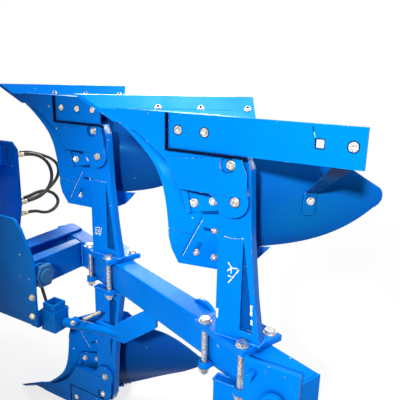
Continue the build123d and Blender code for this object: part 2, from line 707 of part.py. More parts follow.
# Half profiles, mirrored about the wheel's middle. columns: radius, distance from the middle
RIM_HALF = [
    (axle_radius + bearing_gap, hub_half), (wheel_hub_radius, hub_half), (wheel_hub_radius, 6),
    (rim_radius - rim_plate, 6), (rim_radius - rim_plate, wheel_half_width - 20),
    (rim_radius, wheel_half_width - 20),
]
TYRE_HALF = [
    (rim_radius, wheel_half_width - 24), (rim_radius + 40, wheel_half_width - 4),
    (wheel_radius - 45, wheel_half_width), (wheel_radius - 8, wheel_half_width - 24), (wheel_radius, 30),
]
spin_plane = Plane(origin=(wheel_x, wheel_y, wheel_z), x_dir=(1, 0, 0), z_dir=(0, 0, 1))


def turned(half):
    """Ring about the wheel's axle from one half of its profile."""
    points = [(r, -y) for r, y in half] + [(r, y) for r, y in half[::-1]]
    face = spin_plane * Polygon(*points, align=None)
    return revolve(face, axis=Axis((wheel_x, wheel_y, wheel_z), (0, 1, 0)), revolution_arc=360)


nodes["wheel_rim"] = turned(RIM_HALF)
nodes["wheel_tyre"] = turned(TYRE_HALF)

# ---------------------------------------------------------------- hoses on the right side plate
plate_face = axis_y - plate_out
hose_start = plate_face - fitting_length
HOSES = {
    "hose_return": [
        (1290, hose_start, 522), (1290, -496, 522), (1290, -576, 500), (1290, -640, 446), (1290, -664, 370),
        (1290, -636, 302), (1290, -573, 262), (1290, -505, 251), (1290, hose_start, 251),
    ],
    "hose_feed": [
        (1325, hose_start, 262), (1325, -500, 262), (1323, -566, 278), (1320, -634, 276), (1308, -690, 244),
        (1296, -708, 196), (1290, -668, 156), (1290, -592, 148), (1290, -510, 186), (1290, hose_start, 186),
    ],
    "hose_supply": [
        (1330, hose_start, 527), (1330, -505, 527), (1332, -576, 510), (1333, -643, 487), (1335, -703, 459),
        (1338, -749, 422), (1342, -766, 371), (1346, -748, 323), (1350, -701, 284), (1354, -640, 250),
        (1358, -579, 235), (1360, -500, 231), (1360, hose_start, 231),
    ],
}


def hose(name, points):
    """Tube of straight runs and tangent arcs, each arc as large as its two runs allow."""
    vectors = [Vector(*p) for p in points]
    radii = []
    for before, at, after in zip(vectors, vectors[1:], vectors[2:]):
        turn = radians((at - before).get_angle(after - at))
        shorter = min((at - before).length, (after - at).length)
        radii.append(0.45 * shorter / tan(turn / 2))
    path = FilletPolyline(*points, radius=radii)
    print(name, "radii", [round(r) for r in radii], "length", round(path.length))
    ring = Plane(origin=path @ 0, z_dir=path % 0) * Circle(hose_radius)
    return sweep(ring, path=path)


fittings = []
for name, points in HOSES.items():
    nodes[name] = hose(name, points)
    for x, y, z in (points[0], points[-1]):
        fittings.append(rod((x, plate_face, z), (x, hose_start, z), fitting_radius))
nodes["hose_fittings"] = Compound(fittings)

# ---------------------------------------------------------------- shift to the stored frame and write
solid_nodes = [shape for name, shape in nodes.items() if name not in HOSES]
bounds = Compound([s for shape in solid_nodes for s in shape.solids()]).bounding_box()
shift = Vector(-(bounds.min.X + bounds.max.X) / 2, -(bounds.min.Y + bounds.max.Y) / 2, -floor_z)
print("shift", shift, "bounds", bounds.min, bounds.max)
for name, shape in nodes.items():
    solids = [Pos(*shift) * s for s in shape.solids()]
    piece = solids[0] if len(solids) == 1 else Compound(solids)
    piece.label = name
    export_step(piece, f"parts/{name}.step")
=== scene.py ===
"""Looks of a mounted two-furrow reversible moldboard plough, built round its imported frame.

Lengths are metres, apart from the part's own millimetres where a comment says so. Places on a
plough body are (u, v, w): forward from the front end of its landside, inward from the landside's
outer face, and away from its sole.
"""
import json
import math

import bmesh
import bpy
from mathutils import Matrix, Vector
from mathutils.bvhtree import BVHTree


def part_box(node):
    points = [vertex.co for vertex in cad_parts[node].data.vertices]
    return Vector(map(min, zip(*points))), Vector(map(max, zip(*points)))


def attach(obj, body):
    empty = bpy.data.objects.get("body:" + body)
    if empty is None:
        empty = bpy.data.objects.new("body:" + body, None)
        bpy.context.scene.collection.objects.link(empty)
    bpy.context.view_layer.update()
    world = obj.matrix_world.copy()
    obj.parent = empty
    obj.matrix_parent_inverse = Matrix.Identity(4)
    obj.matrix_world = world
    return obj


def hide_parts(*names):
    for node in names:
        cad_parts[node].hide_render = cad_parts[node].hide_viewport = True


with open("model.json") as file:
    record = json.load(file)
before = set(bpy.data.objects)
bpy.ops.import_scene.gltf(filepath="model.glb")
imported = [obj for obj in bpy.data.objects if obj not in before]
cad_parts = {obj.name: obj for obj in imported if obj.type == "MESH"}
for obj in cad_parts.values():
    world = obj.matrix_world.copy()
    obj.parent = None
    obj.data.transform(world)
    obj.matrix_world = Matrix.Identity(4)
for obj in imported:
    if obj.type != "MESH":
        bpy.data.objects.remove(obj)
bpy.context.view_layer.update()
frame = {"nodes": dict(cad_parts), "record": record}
scene = bpy.context.scene
bodies = frame["record"]["behaviour"]["bodies"]
body_of = {node: body for body, nodes in bodies.items() for node in nodes}

LEVELS = ("lower", "upper")
STATIONS = ("rear", "front")
UPWARD, LEFTWARD = Vector((0, 0, 1)), Vector((0, 1, 0))
RIGHTWARD, BACKWARD = Vector((0, -1, 0)), Vector((-1, 0, 0))
FULL_TURN = 6.283                               # radians
JOIN_DISTANCE = 0.00002
FLAT_ANGLE, SHARP_ANGLE, BEVEL_ANGLE = 0.6, 28, 32      # degrees between faces
PART_SHIFT = Vector((-0.5185, 0.210, 0.909))    # from the part's working frame to the stored one


# -------- camera, light and floor
def add_object(name, data):
    """New object in the scene."""
    obj = bpy.data.objects.new(name, data)
    scene.collection.objects.link(obj)
    return obj


def set_camera():
    """Camera behind and left of the plough, a little above its beam."""
    place = (-1.4519, 1.5823, 1.9291)
    heading, tilt, roll = math.radians(30.338), math.radians(15.318), math.radians(1.212)
    data = bpy.data.cameras.new("camera")
    data.lens, data.sensor_width, data.clip_end = 44.12, 36, 100
    camera = add_object("camera", data)
    turn = Matrix.Rotation(math.pi + heading, 4, "Z")
    turn @= Matrix.Rotation(math.pi / 2 - tilt, 4, "X") @ Matrix.Rotation(roll, 4, "Z")
    camera.matrix_world = Matrix.Translation(place) @ turn
    scene.camera = camera


def lamp(name, place, target, size, power, cone):
    """Soft lamp at a place, facing a target: a square, or a spot with a cone given in degrees."""
    if cone:
        data = bpy.data.lights.new(name, "SPOT")
        data.spot_size, data.spot_blend, data.shadow_soft_size = math.radians(cone), 1.0, size
    else:
        data = bpy.data.lights.new(name, "AREA")
        data.shape, data.size = "SQUARE", size
    data.energy = power
    aim = (Vector(target) - Vector(place)).to_track_quat("-Z", "Y")
    add_object(name, data).matrix_world = Matrix.Translation(place) @ aim.to_matrix().to_4x4()


def add_node(tree, kind, sockets=None, **settings):
    """New node in a tree, its sockets linked to an output or given a value."""
    made = tree.nodes.new(kind)
    for key, value in settings.items():
        setattr(made, key, value)
    for socket, source in (sockets or {}).items():
        if hasattr(source, "is_output"):
            tree.links.new(source, made.inputs[socket])
        else:
            made.inputs[socket].default_value = source
    return made


def shown_rays(tree):
    """1 for rays from the camera, and for what metal and glass show."""
    rays = add_node(tree, "ShaderNodeLightPath").outputs
    shown = rays["Is Camera Ray"]
    for kind in ("Is Glossy Ray", "Is Transmission Ray"):
        either = add_node(tree, "ShaderNodeMath", {0: shown, 1: rays[kind]}, operation="MAXIMUM")
        shown = either.outputs[0]
    return shown


def set_world():
    """Faint cool light from all round, which shows as white."""
    world = bpy.data.worlds.new("studio")
    scene.world = world
    world.use_nodes = True
    tree = world.node_tree
    soft = tree.nodes["Background"]
    soft.inputs["Color"].default_value = (0.80, 0.88, 1.0, 1)
    soft.inputs["Strength"].default_value = 0.05
    white = add_node(tree, "ShaderNodeBackground", {"Color": (1, 1, 1, 1), "Strength": 1.0})
    mix = add_node(tree, "ShaderNodeMixShader",
                   {"Fac": shown_rays(tree), 1: soft.outputs[0], 2: white.outputs[0]})
    tree.links.new(mix.outputs[0], tree.nodes["World Output"].inputs["Surface"])


def make_floor():
    """Pale round floor that turns to white far from the plough."""
    radius, near, far = 30.0, 1.6, 5.5
    bm = bmesh.new()
    bmesh.ops.create_circle(bm, cap_ends=True, segments=96, radius=radius)
    floor = add_object("studio_floor", shaded_mesh("studio_floor", bm))
    finish = Finish("studio_floor", (0.93, 0.93, 0.93), 0.8)
    tree = finish.tree
    finish.colour(finish.blend(shown_rays(tree), (0.30, 0.31, 0.33), (0.95, 0.95, 0.95)))
    distance = finish.node("ShaderNodeVectorMath", {0: finish.place}, operation="LENGTH")
    fade = finish.ramp(distance.outputs["Value"], near, far, 0.78, 1.0)
    white = finish.node("ShaderNodeEmission")
    mix = finish.node("ShaderNodeMixShader", {
        "Fac": finish.times(fade, shown_rays(tree)), 1: finish.shader.outputs[0], 2: white.outputs[0],
    })
    tree.links.new(mix.outputs[0], tree.nodes["Material Output"].inputs["Surface"])
    floor.data.materials.append(finish.material)


# -------- finishes
class Finish:
    """A material, with short calls for the nodes that its pattern needs."""

    def __init__(self, name, colour, roughness, metallic=0.0, specular=0.5):
        self.material = bpy.data.materials.new(name)
        self.material.use_nodes = True
        self.tree = self.material.node_tree
        self.shader = self.tree.nodes["Principled BSDF"]
        self.set("Base Color", (*colour, 1))
        self.set("Roughness", roughness)
        self.set("Metallic", metallic)
        self.set("Specular IOR Level", specular)
        self.place = self.node("ShaderNodeTexCoord").outputs["Object"]

    def set(self, socket, value):
        self.shader.inputs[socket].default_value = value

    def node(self, kind, sockets=None, **settings):
        return add_node(self.tree, kind, sockets, **settings)

    def noise(self, scale, detail, stretch):
        """Noise in the piece's own place, with stretch giving a scale for each axis."""
        place = self.place
        if stretch:
            mapping = self.node("ShaderNodeMapping", {"Vector": place, "Scale": stretch})
            place = mapping.outputs["Vector"]
        sockets = {"Vector": place, "Scale": scale, "Detail": detail}
        return self.node("ShaderNodeTexNoise", sockets).outputs["Fac"]

    def ramp(self, source, low, high, to_low=0.0, to_high=1.0):
        """Smooth step of a value between two levels."""
        made = self.node("ShaderNodeMapRange", {
            "Value": source, "From Min": low, "From Max": high, "To Min": to_low, "To Max": to_high,
        }, interpolation_type="SMOOTHSTEP")
        return made.outputs["Result"]

    def clouds(self, scale, detail, low, high, stretch=None):
        """Noise made into patches: 0 below one level and 1 above another."""
        return self.ramp(self.noise(scale, detail, stretch), low, high)

    def times(self, a, b):
        return self.node("ShaderNodeMath", {0: a, 1: b}, operation="MULTIPLY").outputs[0]

    def blend(self, factor, below, above):
        """Colour above laid over colour below where factor is 1."""
        below, above = ((*value, 1) if isinstance(value, tuple) else value for value in (below, above))
        sockets = {"Factor": factor, 6: below, 7: above}
        return self.node("ShaderNodeMix", sockets, data_type="RGBA").outputs[2]

    def edges(self, radius, low, high):
        """1 along the piece's edges, worked out from how its rounded and true faces differ."""
        rounded = self.node("ShaderNodeBevel", {"Radius": radius}, samples=4)
        true = self.node("ShaderNodeNewGeometry")
        normals = {0: rounded.outputs["Normal"], 1: true.outputs["Normal"]}
        cosine = self.node("ShaderNodeVectorMath", normals, operation="DOT_PRODUCT")
        return self.ramp(cosine.outputs["Value"], high, low)

    def corners(self, reach, low, high):
        """1 deep in the piece's inner corners, where less of the sky is seen within reach."""
        sky = self.node("ShaderNodeAmbientOcclusion", {"Distance": reach}, samples=6)
        return self.ramp(sky.outputs["AO"], low, high)

    def colour(self, source):
        self.tree.links.new(source, self.shader.inputs["Base Color"])

    def roughness(self, scale, detail, low, high, stretch=None):
        """Roughness that wanders between two levels."""
        source = self.ramp(self.noise(scale, detail, stretch), 0.3, 0.7, low, high)
        self.tree.links.new(source, self.shader.inputs["Roughness"])

    def bump(self, scale, detail, strength, distance, stretch=None):
        """Fine relief of the surface."""
        height = self.noise(scale, detail, stretch)
        made = self.node("ShaderNodeBump",
                         {"Height": height, "Strength": strength, "Distance": distance})
        self.tree.links.new(made.outputs["Normal"], self.shader.inputs["Normal"])


AZURE = (0.0, 0.235, 0.88)
AZURE_DEEP = (0.0, 0.205, 0.82)
AZURE_PALE = (0.02, 0.42, 0.98)
AZURE_SHADE = (0.0, 0.045, 0.22)
# Azure darkened as painted shade, for the rear moldboards, the leg pockets' floors and the tail braces.
BOARD_SHADE_BLUE, BOARD_SHADE_DEEP = (0.002, 0.122, 0.36), (0.002, 0.090, 0.40)
# Azure darkened further as painted shadow, for the front moldboards.
FRONT_BOARD_SHADOW_BLUE, FRONT_BOARD_SHADOW_DEEP = (0.004, 0.078, 0.28), (0.004, 0.062, 0.30)
# Azure darkened a little as painted shade, for the cross arms, swing plate and width adjuster.
FRAME_SHADE_BLUE, FRAME_SHADE_DEEP = (0.0, 0.200, 0.70), (0.0, 0.170, 0.64)
PRIMER = (0.72, 0.80, 0.88)
BARE_STEEL = (0.20, 0.19, 0.18)


def azure_paint(name, colour=AZURE, deep=AZURE_DEEP, gloss=0.09, reach=0.05):
    """Sprayed paint: faint clouds, an orange-peel skin, edges lightened as a painted highlight and
    chipped in places, a few small chips, and painted shade that darkens it over a reach from inner
    corners."""
    chips = 0.70
    paint = Finish(name, colour, 0.3, specular=gloss)
    paint.set("Specular Tint", (0.10, 0.72, 1.0, 1))
    clouds = paint.clouds(2.6, 3, 0.35, 0.65)
    mixed = paint.blend(clouds, deep, colour)
    # Painted shade: darker towards AZURE_SHADE in inner corners, over the reach and within 7 mm.
    mixed = paint.blend(paint.times(paint.corners(reach, 0.92, 0.25), 0.85), mixed, AZURE_SHADE)
    mixed = paint.blend(paint.times(paint.corners(0.007, 0.95, 0.55), 0.75), mixed, AZURE_SHADE)
    # Painted highlight: edges lightened towards AZURE_PALE; the same edge mask also places chips of
    # primer.
    edge_highlight_and_wear = paint.edges(0.003, 0.80, 0.97)
    mixed = paint.blend(paint.times(edge_highlight_and_wear, 0.55), mixed, AZURE_PALE)
    ragged = paint.clouds(55, 6, chips - 0.07, chips - 0.05)
    mixed = paint.blend(paint.times(edge_highlight_and_wear, ragged), mixed, PRIMER)
    specks = paint.clouds(38, 3, chips + 0.052, chips + 0.062)
    mixed = paint.blend(specks, mixed, PRIMER)
    dark_specks = paint.clouds(31, 3, chips + 0.055, chips + 0.065, stretch=(1, 1.3, 1))
    mixed = paint.blend(dark_specks, mixed, BARE_STEEL)
    paint.colour(mixed)
    paint.roughness(9, 5, 0.22, 0.36)
    paint.bump(170, 2, 0.12, 0.0004)
    return paint.material


def zinc_plate():
    """Bright zinc on bolts: slightly mottled, dulled in patches."""
    zinc = Finish("zinc_plate", (0.60, 0.60, 0.57), 0.34, metallic=0.85)
    mottle = zinc.clouds(190, 4, 0.38, 0.62)
    colour = zinc.blend(mottle, (0.40, 0.40, 0.38), (0.86, 0.85, 0.82))
    stain = zinc.clouds(60, 3, 0.55, 0.68)
    zinc.colour(zinc.blend(zinc.times(stain, 0.7), colour, (0.27, 0.25, 0.20)))
    zinc.roughness(90, 3, 0.24, 0.5)
    zinc.bump(420, 3, 0.35, 0.0004)
    return zinc.material


def yellow_zinc():
    """Yellow passivated zinc on hose ends and on the adjuster's bolts."""
    zinc = Finish("yellow_zinc", (0.74, 0.62, 0.40), 0.33, metallic=0.85)
    tint = zinc.clouds(70, 4, 0.35, 0.65)
    zinc.colour(zinc.blend(tint, (0.62, 0.47, 0.28), (0.82, 0.74, 0.55)))
    zinc.roughness(120, 3, 0.25, 0.45)
    zinc.bump(500, 2, 0.12, 0.0002)
    return zinc.material


def chromed_rod():
    """Hard chrome with the fine turning marks of a ground rod."""
    chrome = Finish("chromed_rod", (0.80, 0.81, 0.82), 0.12, metallic=1.0)
    chrome.roughness(40, 2, 0.08, 0.2, stretch=(1, 1, 30))
    chrome.bump(40, 2, 0.05, 0.0001, stretch=(1, 1, 30))
    return chrome.material


def hose_rubber():
    """Black braided hose cover: fine wrap marks under a dusty sheen."""
    rubber = Finish("hose_rubber", (0.012, 0.012, 0.013), 0.42)
    dust = rubber.clouds(28, 5, 0.45, 0.75)
    rubber.colour(rubber.blend(dust, (0.010, 0.010, 0.011), (0.045, 0.043, 0.040)))
    rubber.roughness(60, 3, 0.34, 0.55)
    rubber.bump(420, 2, 0.3, 0.0004)
    return rubber.material


def tyre_rubber():
    """Tyre rubber, dusty on the outside."""
    rubber = Finish("tyre_rubber", (0.03, 0.03, 0.03), 0.65)
    dust = rubber.clouds(12, 6, 0.4, 0.75)
    rubber.colour(rubber.blend(dust, (0.016, 0.016, 0.017), (0.09, 0.085, 0.078)))
    rubber.roughness(40, 4, 0.55, 0.8)
    rubber.bump(220, 4, 0.35, 0.0006)
    return rubber.material


def weld_paint():
    """The same paint over weld metal, a little thinner and rougher."""
    paint = Finish("weld_paint", AZURE, 0.36, specular=0.4)
    thin = paint.clouds(60, 4, 0.5, 0.8)
    paint.colour(paint.blend(thin, AZURE_DEEP, AZURE_PALE))
    paint.roughness(80, 3, 0.28, 0.45)
    paint.bump(350, 3, 0.3, 0.0005)
    return paint.material


def chalk():
    """Marker strokes, broken where the paint's skin is low; the same white also draws a painted
    highlight along the trashboard brackets' edges.
    """
    mark = Finish("chalk", (0.90, 0.92, 0.94), 0.9, specular=0.2)
    worn = mark.clouds(240, 4, 0.52, 0.66)
    mark.colour(mark.blend(worn, (0.93, 0.94, 0.95), (0.30, 0.55, 0.90)))
    mark.bump(500, 3, 0.4, 0.0003)
    return mark.material


def scraped_edge():
    """Cut steel edge where grinding left streaks of grey primer under thin paint."""
    edge = Finish("scraped_edge", (0.62, 0.64, 0.70), 0.5)
    streaks = edge.clouds(26, 5, 0.40, 0.62, stretch=(1, 1, 0.25))
    colour = edge.blend(streaks, (0.80, 0.80, 0.86), (0.12, 0.22, 0.40))
    film = edge.clouds(60, 4, 0.42, 0.60, stretch=(1, 1, 0.4))
    edge.colour(edge.blend(edge.times(film, 0.9), colour, (0.02, 0.26, 0.80)))
    edge.roughness(120, 3, 0.35, 0.65)
    edge.bump(180, 4, 0.3, 0.0005, stretch=(1, 1, 0.3))
    return edge.material


def dark_gap():
    """Near-black painted shade, in the clearance round sunk bolt heads, over the landside's gaps and in
    nut bores; also drawn as dark lines round the tail hole.
    """
    gap = Finish("dark_gap", (0.002, 0.005, 0.03), 0.85, specular=0.04)
    dark_mottle = gap.clouds(150, 4, 0.4, 0.7)
    gap.colour(gap.blend(dark_mottle, (0.001, 0.003, 0.022), (0.006, 0.014, 0.06)))
    gap.bump(300, 3, 0.3, 0.0003)
    return gap.material


# -------- making pieces
def add_piece(name, mesh, body, replaced=()):
    """Puts a finished mesh in the scene, riding on a body."""
    obj = add_object(name, mesh)
    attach(obj, body)
    if replaced:
        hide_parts(*replaced)
    return obj


def eased(node, edge, material, flat=True):
    """A CAD node's shape with its edges eased, standing for the node."""
    bm = bmesh.new()
    bm.from_mesh(frame["nodes"][node].data)
    bmesh.ops.remove_doubles(bm, verts=bm.verts, dist=JOIN_DISTANCE)
    if flat:
        bmesh.ops.dissolve_limit(bm, angle_limit=math.radians(FLAT_ANGLE), verts=bm.verts,
                                 edges=bm.edges)
    mesh = bpy.data.meshes.new(node + "_eased")
    bm.to_mesh(mesh)
    bm.free()
    for face in mesh.polygons:
        face.use_smooth = True
    mesh.materials.clear()
    mesh.materials.append(material)
    obj = add_piece(node + "_eased", mesh, body_of[node], [node])
    rounding = obj.modifiers.new("eased_edges", "BEVEL")
    rounding.width, rounding.segments = edge, 2
    rounding.limit_method, rounding.angle_limit = "ANGLE", math.radians(BEVEL_ANGLE)
    rounding.use_clamp_overlap, rounding.harden_normals = True, False
    evened = obj.modifiers.new("even_faces", "WEIGHTED_NORMAL")
    evened.keep_sharp, evened.weight = False, 80
    return obj


def body_place(level, station):
    """Function that turns (u, v, w) on a plough body into a place in the frame."""
    low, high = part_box(f"landside_{level}_{station}")
    sole, up = (low.z, 1) if level == "lower" else (high.z, -1)

    def at(u, v, w):
        return Vector((high.x + u, high.y - v, sole + up * w))

    return at


def plough_bodies():
    """Level, station, name ending and place function of each of the four plough bodies."""
    for level in LEVELS:
        for station in STATIONS:
            yield level, station, f"_{level}_{station}", body_place(level, station)


def first_hit(nodes, start, direction):
    """Point and outward normal where a line first meets any of the CAD nodes, or None."""
    best, least = None, math.inf
    for node in nodes:
        mesh = frame["nodes"][node].data
        corners = [corner.co for corner in mesh.vertices]
        tree = BVHTree.FromPolygons(corners, [face.vertices for face in mesh.polygons])
        point, normal, _, distance = tree.ray_cast(start, direction)
        if point is not None and distance < least:
            outward = -normal if normal.dot(direction) > 0 else normal
            best, least = (point, outward), distance
    return best


# -------- node trees for what repeats
class Tree:
    """A geometry node tree with named inputs, ending in one mesh of plain faces."""

    def __init__(self, name, inputs):
        self.tree = bpy.data.node_groups.new(name, "GeometryNodeTree")
        face = self.tree.interface
        face.new_socket("Geometry", in_out="INPUT", socket_type="NodeSocketGeometry")
        for label, kind, value in inputs + [("Material", "Material", None)]:
            socket = face.new_socket(label, in_out="INPUT", socket_type="NodeSocket" + kind)
            if value is not None:
                socket.default_value = value
        face.new_socket("Geometry", in_out="OUTPUT", socket_type="NodeSocketGeometry")
        self.inputs = self.tree.nodes.new("NodeGroupInput").outputs
        self.result = self.tree.nodes.new("NodeGroupOutput").inputs[0]

    def node(self, kind, sockets=None, **settings):
        return add_node(self.tree, kind, sockets, **settings)

    def finish(self, geometry):
        realized = self.node("GeometryNodeRealizeInstances", {"Geometry": geometry})
        painted = self.node("GeometryNodeSetMaterial",
                            {"Geometry": realized.outputs[0], "Material": self.inputs["Material"]})
        self.tree.links.new(painted.outputs[0], self.result)
        return self.tree


def spread_tree():
    """A template piece on every point, turned to face outwards and sized by the point's radius."""
    tree = Tree("set_on_points", [
        ("Template", "Object", None), ("Random turn", "Float", FULL_TURN), ("Seed", "Int", 3),
    ])
    facing = tree.node("GeometryNodeInputNamedAttribute", {"Name": "facing"},
                       data_type="FLOAT_VECTOR")
    radius = tree.node("GeometryNodeInputNamedAttribute", {"Name": "radius"}, data_type="FLOAT")
    upright = tree.node("FunctionNodeAlignRotationToVector",
                        {"Vector": facing.outputs["Attribute"]}, axis="Z")
    angle = tree.node("FunctionNodeRandomValue",
                      {3: tree.inputs["Random turn"], "Seed": tree.inputs["Seed"]}, data_type="FLOAT")
    spin = tree.node("FunctionNodeAxisAngleToRotation",
                     {"Axis": (0, 0, 1), "Angle": angle.outputs[1]})
    turned = tree.node("FunctionNodeRotateRotation",
                       {"Rotation": upright.outputs[0], "Rotate By": spin.outputs[0]},
                       rotation_space="LOCAL")
    template = tree.node("GeometryNodeObjectInfo",
                         {"Object": tree.inputs["Template"], "As Instance": True})
    placed = tree.node("GeometryNodeInstanceOnPoints", {
        "Points": tree.inputs["Geometry"], "Instance": template.outputs["Geometry"],
        "Rotation": turned.outputs[0], "Scale": radius.outputs["Attribute"],
    })
    return tree.finish(placed.outputs[0])


def weld_tree():
    """Overlapping ripples of weld metal along lines."""
    tree = Tree("weld_bead", [
        ("Bead radius", "Float", 0.005), ("Ripple pitch", "Float", 0.0035),
        ("Unevenness", "Float", 0.18), ("Seed", "Int", 5),
    ])
    line = tree.node("GeometryNodeMeshToCurve", {"Mesh": tree.inputs["Geometry"]})
    dotted = tree.node("GeometryNodeResampleCurve",
                       {"Curve": line.outputs[0], "Length": tree.inputs["Ripple pitch"]}, mode="LENGTH")
    along = tree.node("GeometryNodeInputTangent")
    turned = tree.node("FunctionNodeAlignRotationToVector", {"Vector": along.outputs[0]}, axis="X")
    ripple = tree.node("GeometryNodeMeshUVSphere", {"Segments": 8, "Rings": 5, "Radius": 1.0})
    flattened = tree.node("GeometryNodeTransform",
                          {"Geometry": ripple.outputs[0], "Scale": (0.62, 1.0, 1.0)})
    least = tree.node("ShaderNodeMath", {0: 1.0, 1: tree.inputs["Unevenness"]}, operation="SUBTRACT")
    most = tree.node("ShaderNodeMath", {0: 1.0, 1: tree.inputs["Unevenness"]}, operation="ADD")
    uneven = tree.node("FunctionNodeRandomValue",
                       {2: least.outputs[0], 3: most.outputs[0], "Seed": tree.inputs["Seed"]},
                       data_type="FLOAT")
    size = tree.node("ShaderNodeMath", {0: uneven.outputs[1], 1: tree.inputs["Bead radius"]},
                     operation="MULTIPLY")
    placed = tree.node("GeometryNodeInstanceOnPoints", {
        "Points": dotted.outputs[0], "Instance": flattened.outputs[0],
        "Rotation": turned.outputs[0], "Scale": size.outputs[0],
    })
    smooth = tree.node("GeometryNodeSetShadeSmooth", {"Geometry": placed.outputs[0]})
    return tree.finish(smooth.outputs[0])


def run_tree(name, seed_mesh, tree, values):
    """Mesh that a node tree makes from a seed mesh, free of instances."""
    holder = add_object(name + "_seed", seed_mesh)
    growth = holder.modifiers.new("growth", "NODES")
    growth.node_group = tree
    for item in tree.interface.items_tree:
        if item.item_type == "SOCKET" and item.in_out == "INPUT" and item.name in values:
            growth[item.identifier] = values[item.name]
    bpy.context.view_layer.update()
    depsgraph = bpy.context.evaluated_depsgraph_get()
    mesh = bpy.data.meshes.new_from_object(holder.evaluated_get(depsgraph), depsgraph=depsgraph)
    mesh.name = name
    bpy.data.objects.remove(holder)
    return mesh


# -------- turned and flat parts, bolts and beads
def turned_shell(bm, profile, sides):
    """Closed shell turned about z from (radius, z) points, the ends on the axis. Gives its corners."""
    rings = []
    for radius, z in profile[1:-1]:
        ring = []
        for i in range(sides):
            a = 2 * math.pi * i / sides
            ring.append(bm.verts.new((radius * math.cos(a), radius * math.sin(a), z)))
        rings.append(ring)
    low, high = bm.verts.new((0, 0, profile[0][1])), bm.verts.new((0, 0, profile[-1][1]))
    for i in range(sides):
        j = (i + 1) % sides
        bm.faces.new((low, rings[0][j], rings[0][i]))
        bm.faces.new((high, rings[-1][i], rings[-1][j]))
        for below, above in zip(rings, rings[1:]):
            bm.faces.new((below[i], below[j], above[j], above[i]))
    return [low, high] + [corner for ring in rings for corner in ring]


def shaded_mesh(name, bm):
    """Mesh with smooth faces between its sharp edges."""
    mesh = bpy.data.meshes.new(name)
    bm.to_mesh(mesh)
    bm.free()
    for face in mesh.polygons:
        face.use_smooth = True
    mesh.set_sharp_from_angle(angle=math.radians(SHARP_ANGLE))
    return mesh


def template(name, shells):
    """Hidden unit-sized piece, z outwards, for setting on points. shells: (profile, sides)."""
    bm = bmesh.new()
    for profile, sides in shells:
        turned_shell(bm, profile, sides)
    return bpy.data.objects.new(name, shaded_mesh(name, bm))


def turned_piece(name, shells, body, material):
    """One piece of turned shells. shells: (foot, outward direction, profile, sides)."""
    bm = bmesh.new()
    for foot, direction, profile, sides in shells:
        turn = Vector(direction).to_track_quat("Z", "Y").to_matrix().to_4x4()
        corners = turned_shell(bm, profile, sides)
        bmesh.ops.transform(bm, matrix=Matrix.Translation(foot) @ turn, verts=corners)
    mesh = shaded_mesh(name, bm)
    mesh.materials.append(material)
    return add_piece(name, mesh, body)


def rod_profile(radius, length):
    """Plain round bar with eased ends."""
    chamfer = 0.0008
    inner = radius - chamfer
    return [(0, 0), (inner, 0), (radius, chamfer),
            (radius, length - chamfer), (inner, length), (0, length)]


def slab(bm, corners, thickness):
    """Flat plate from its outline, thickened away from the side where the outline is anticlockwise."""
    corners = [Vector(corner) for corner in corners]
    normal = (corners[1] - corners[0]).cross(corners[2] - corners[1]).normalized()
    front = [bm.verts.new(corner) for corner in corners]
    back = [bm.verts.new(corner - normal * thickness) for corner in corners]
    bm.faces.new(front)
    bm.faces.new(back[::-1])
    for i in range(len(front)):
        j = (i + 1) % len(front)
        bm.faces.new((front[i], back[i], back[j], front[j]))


def slab_piece(name, slabs, body, material, edge):
    """One piece of plates with eased edges. slabs: (outline, thickness)."""
    bm = bmesh.new()
    for corners, thickness in slabs:
        slab(bm, corners, thickness)
    bmesh.ops.recalc_face_normals(bm, faces=bm.faces)
    mesh = shaded_mesh(name, bm)
    mesh.materials.append(material)
    obj = add_piece(name, mesh, body)
    if edge:
        rounding = obj.modifiers.new("eased_edges", "BEVEL")
        rounding.width, rounding.segments, rounding.limit_method = edge, 2, "ANGLE"
    return obj


def part_at(x, y, z):
    """Place in the frame from the part's own millimetres."""
    return Vector((x, y, z)) * 0.001 + PART_SHIFT


def thread_profile(radius, start, end, turns):
    """Half section of a short thread, from (radius, start) to (radius, end)."""
    step = (end - start) / (2 * turns)
    root = radius * 0.88
    return [(root if i % 2 else radius, start + i * step) for i in range(2 * turns + 1)]


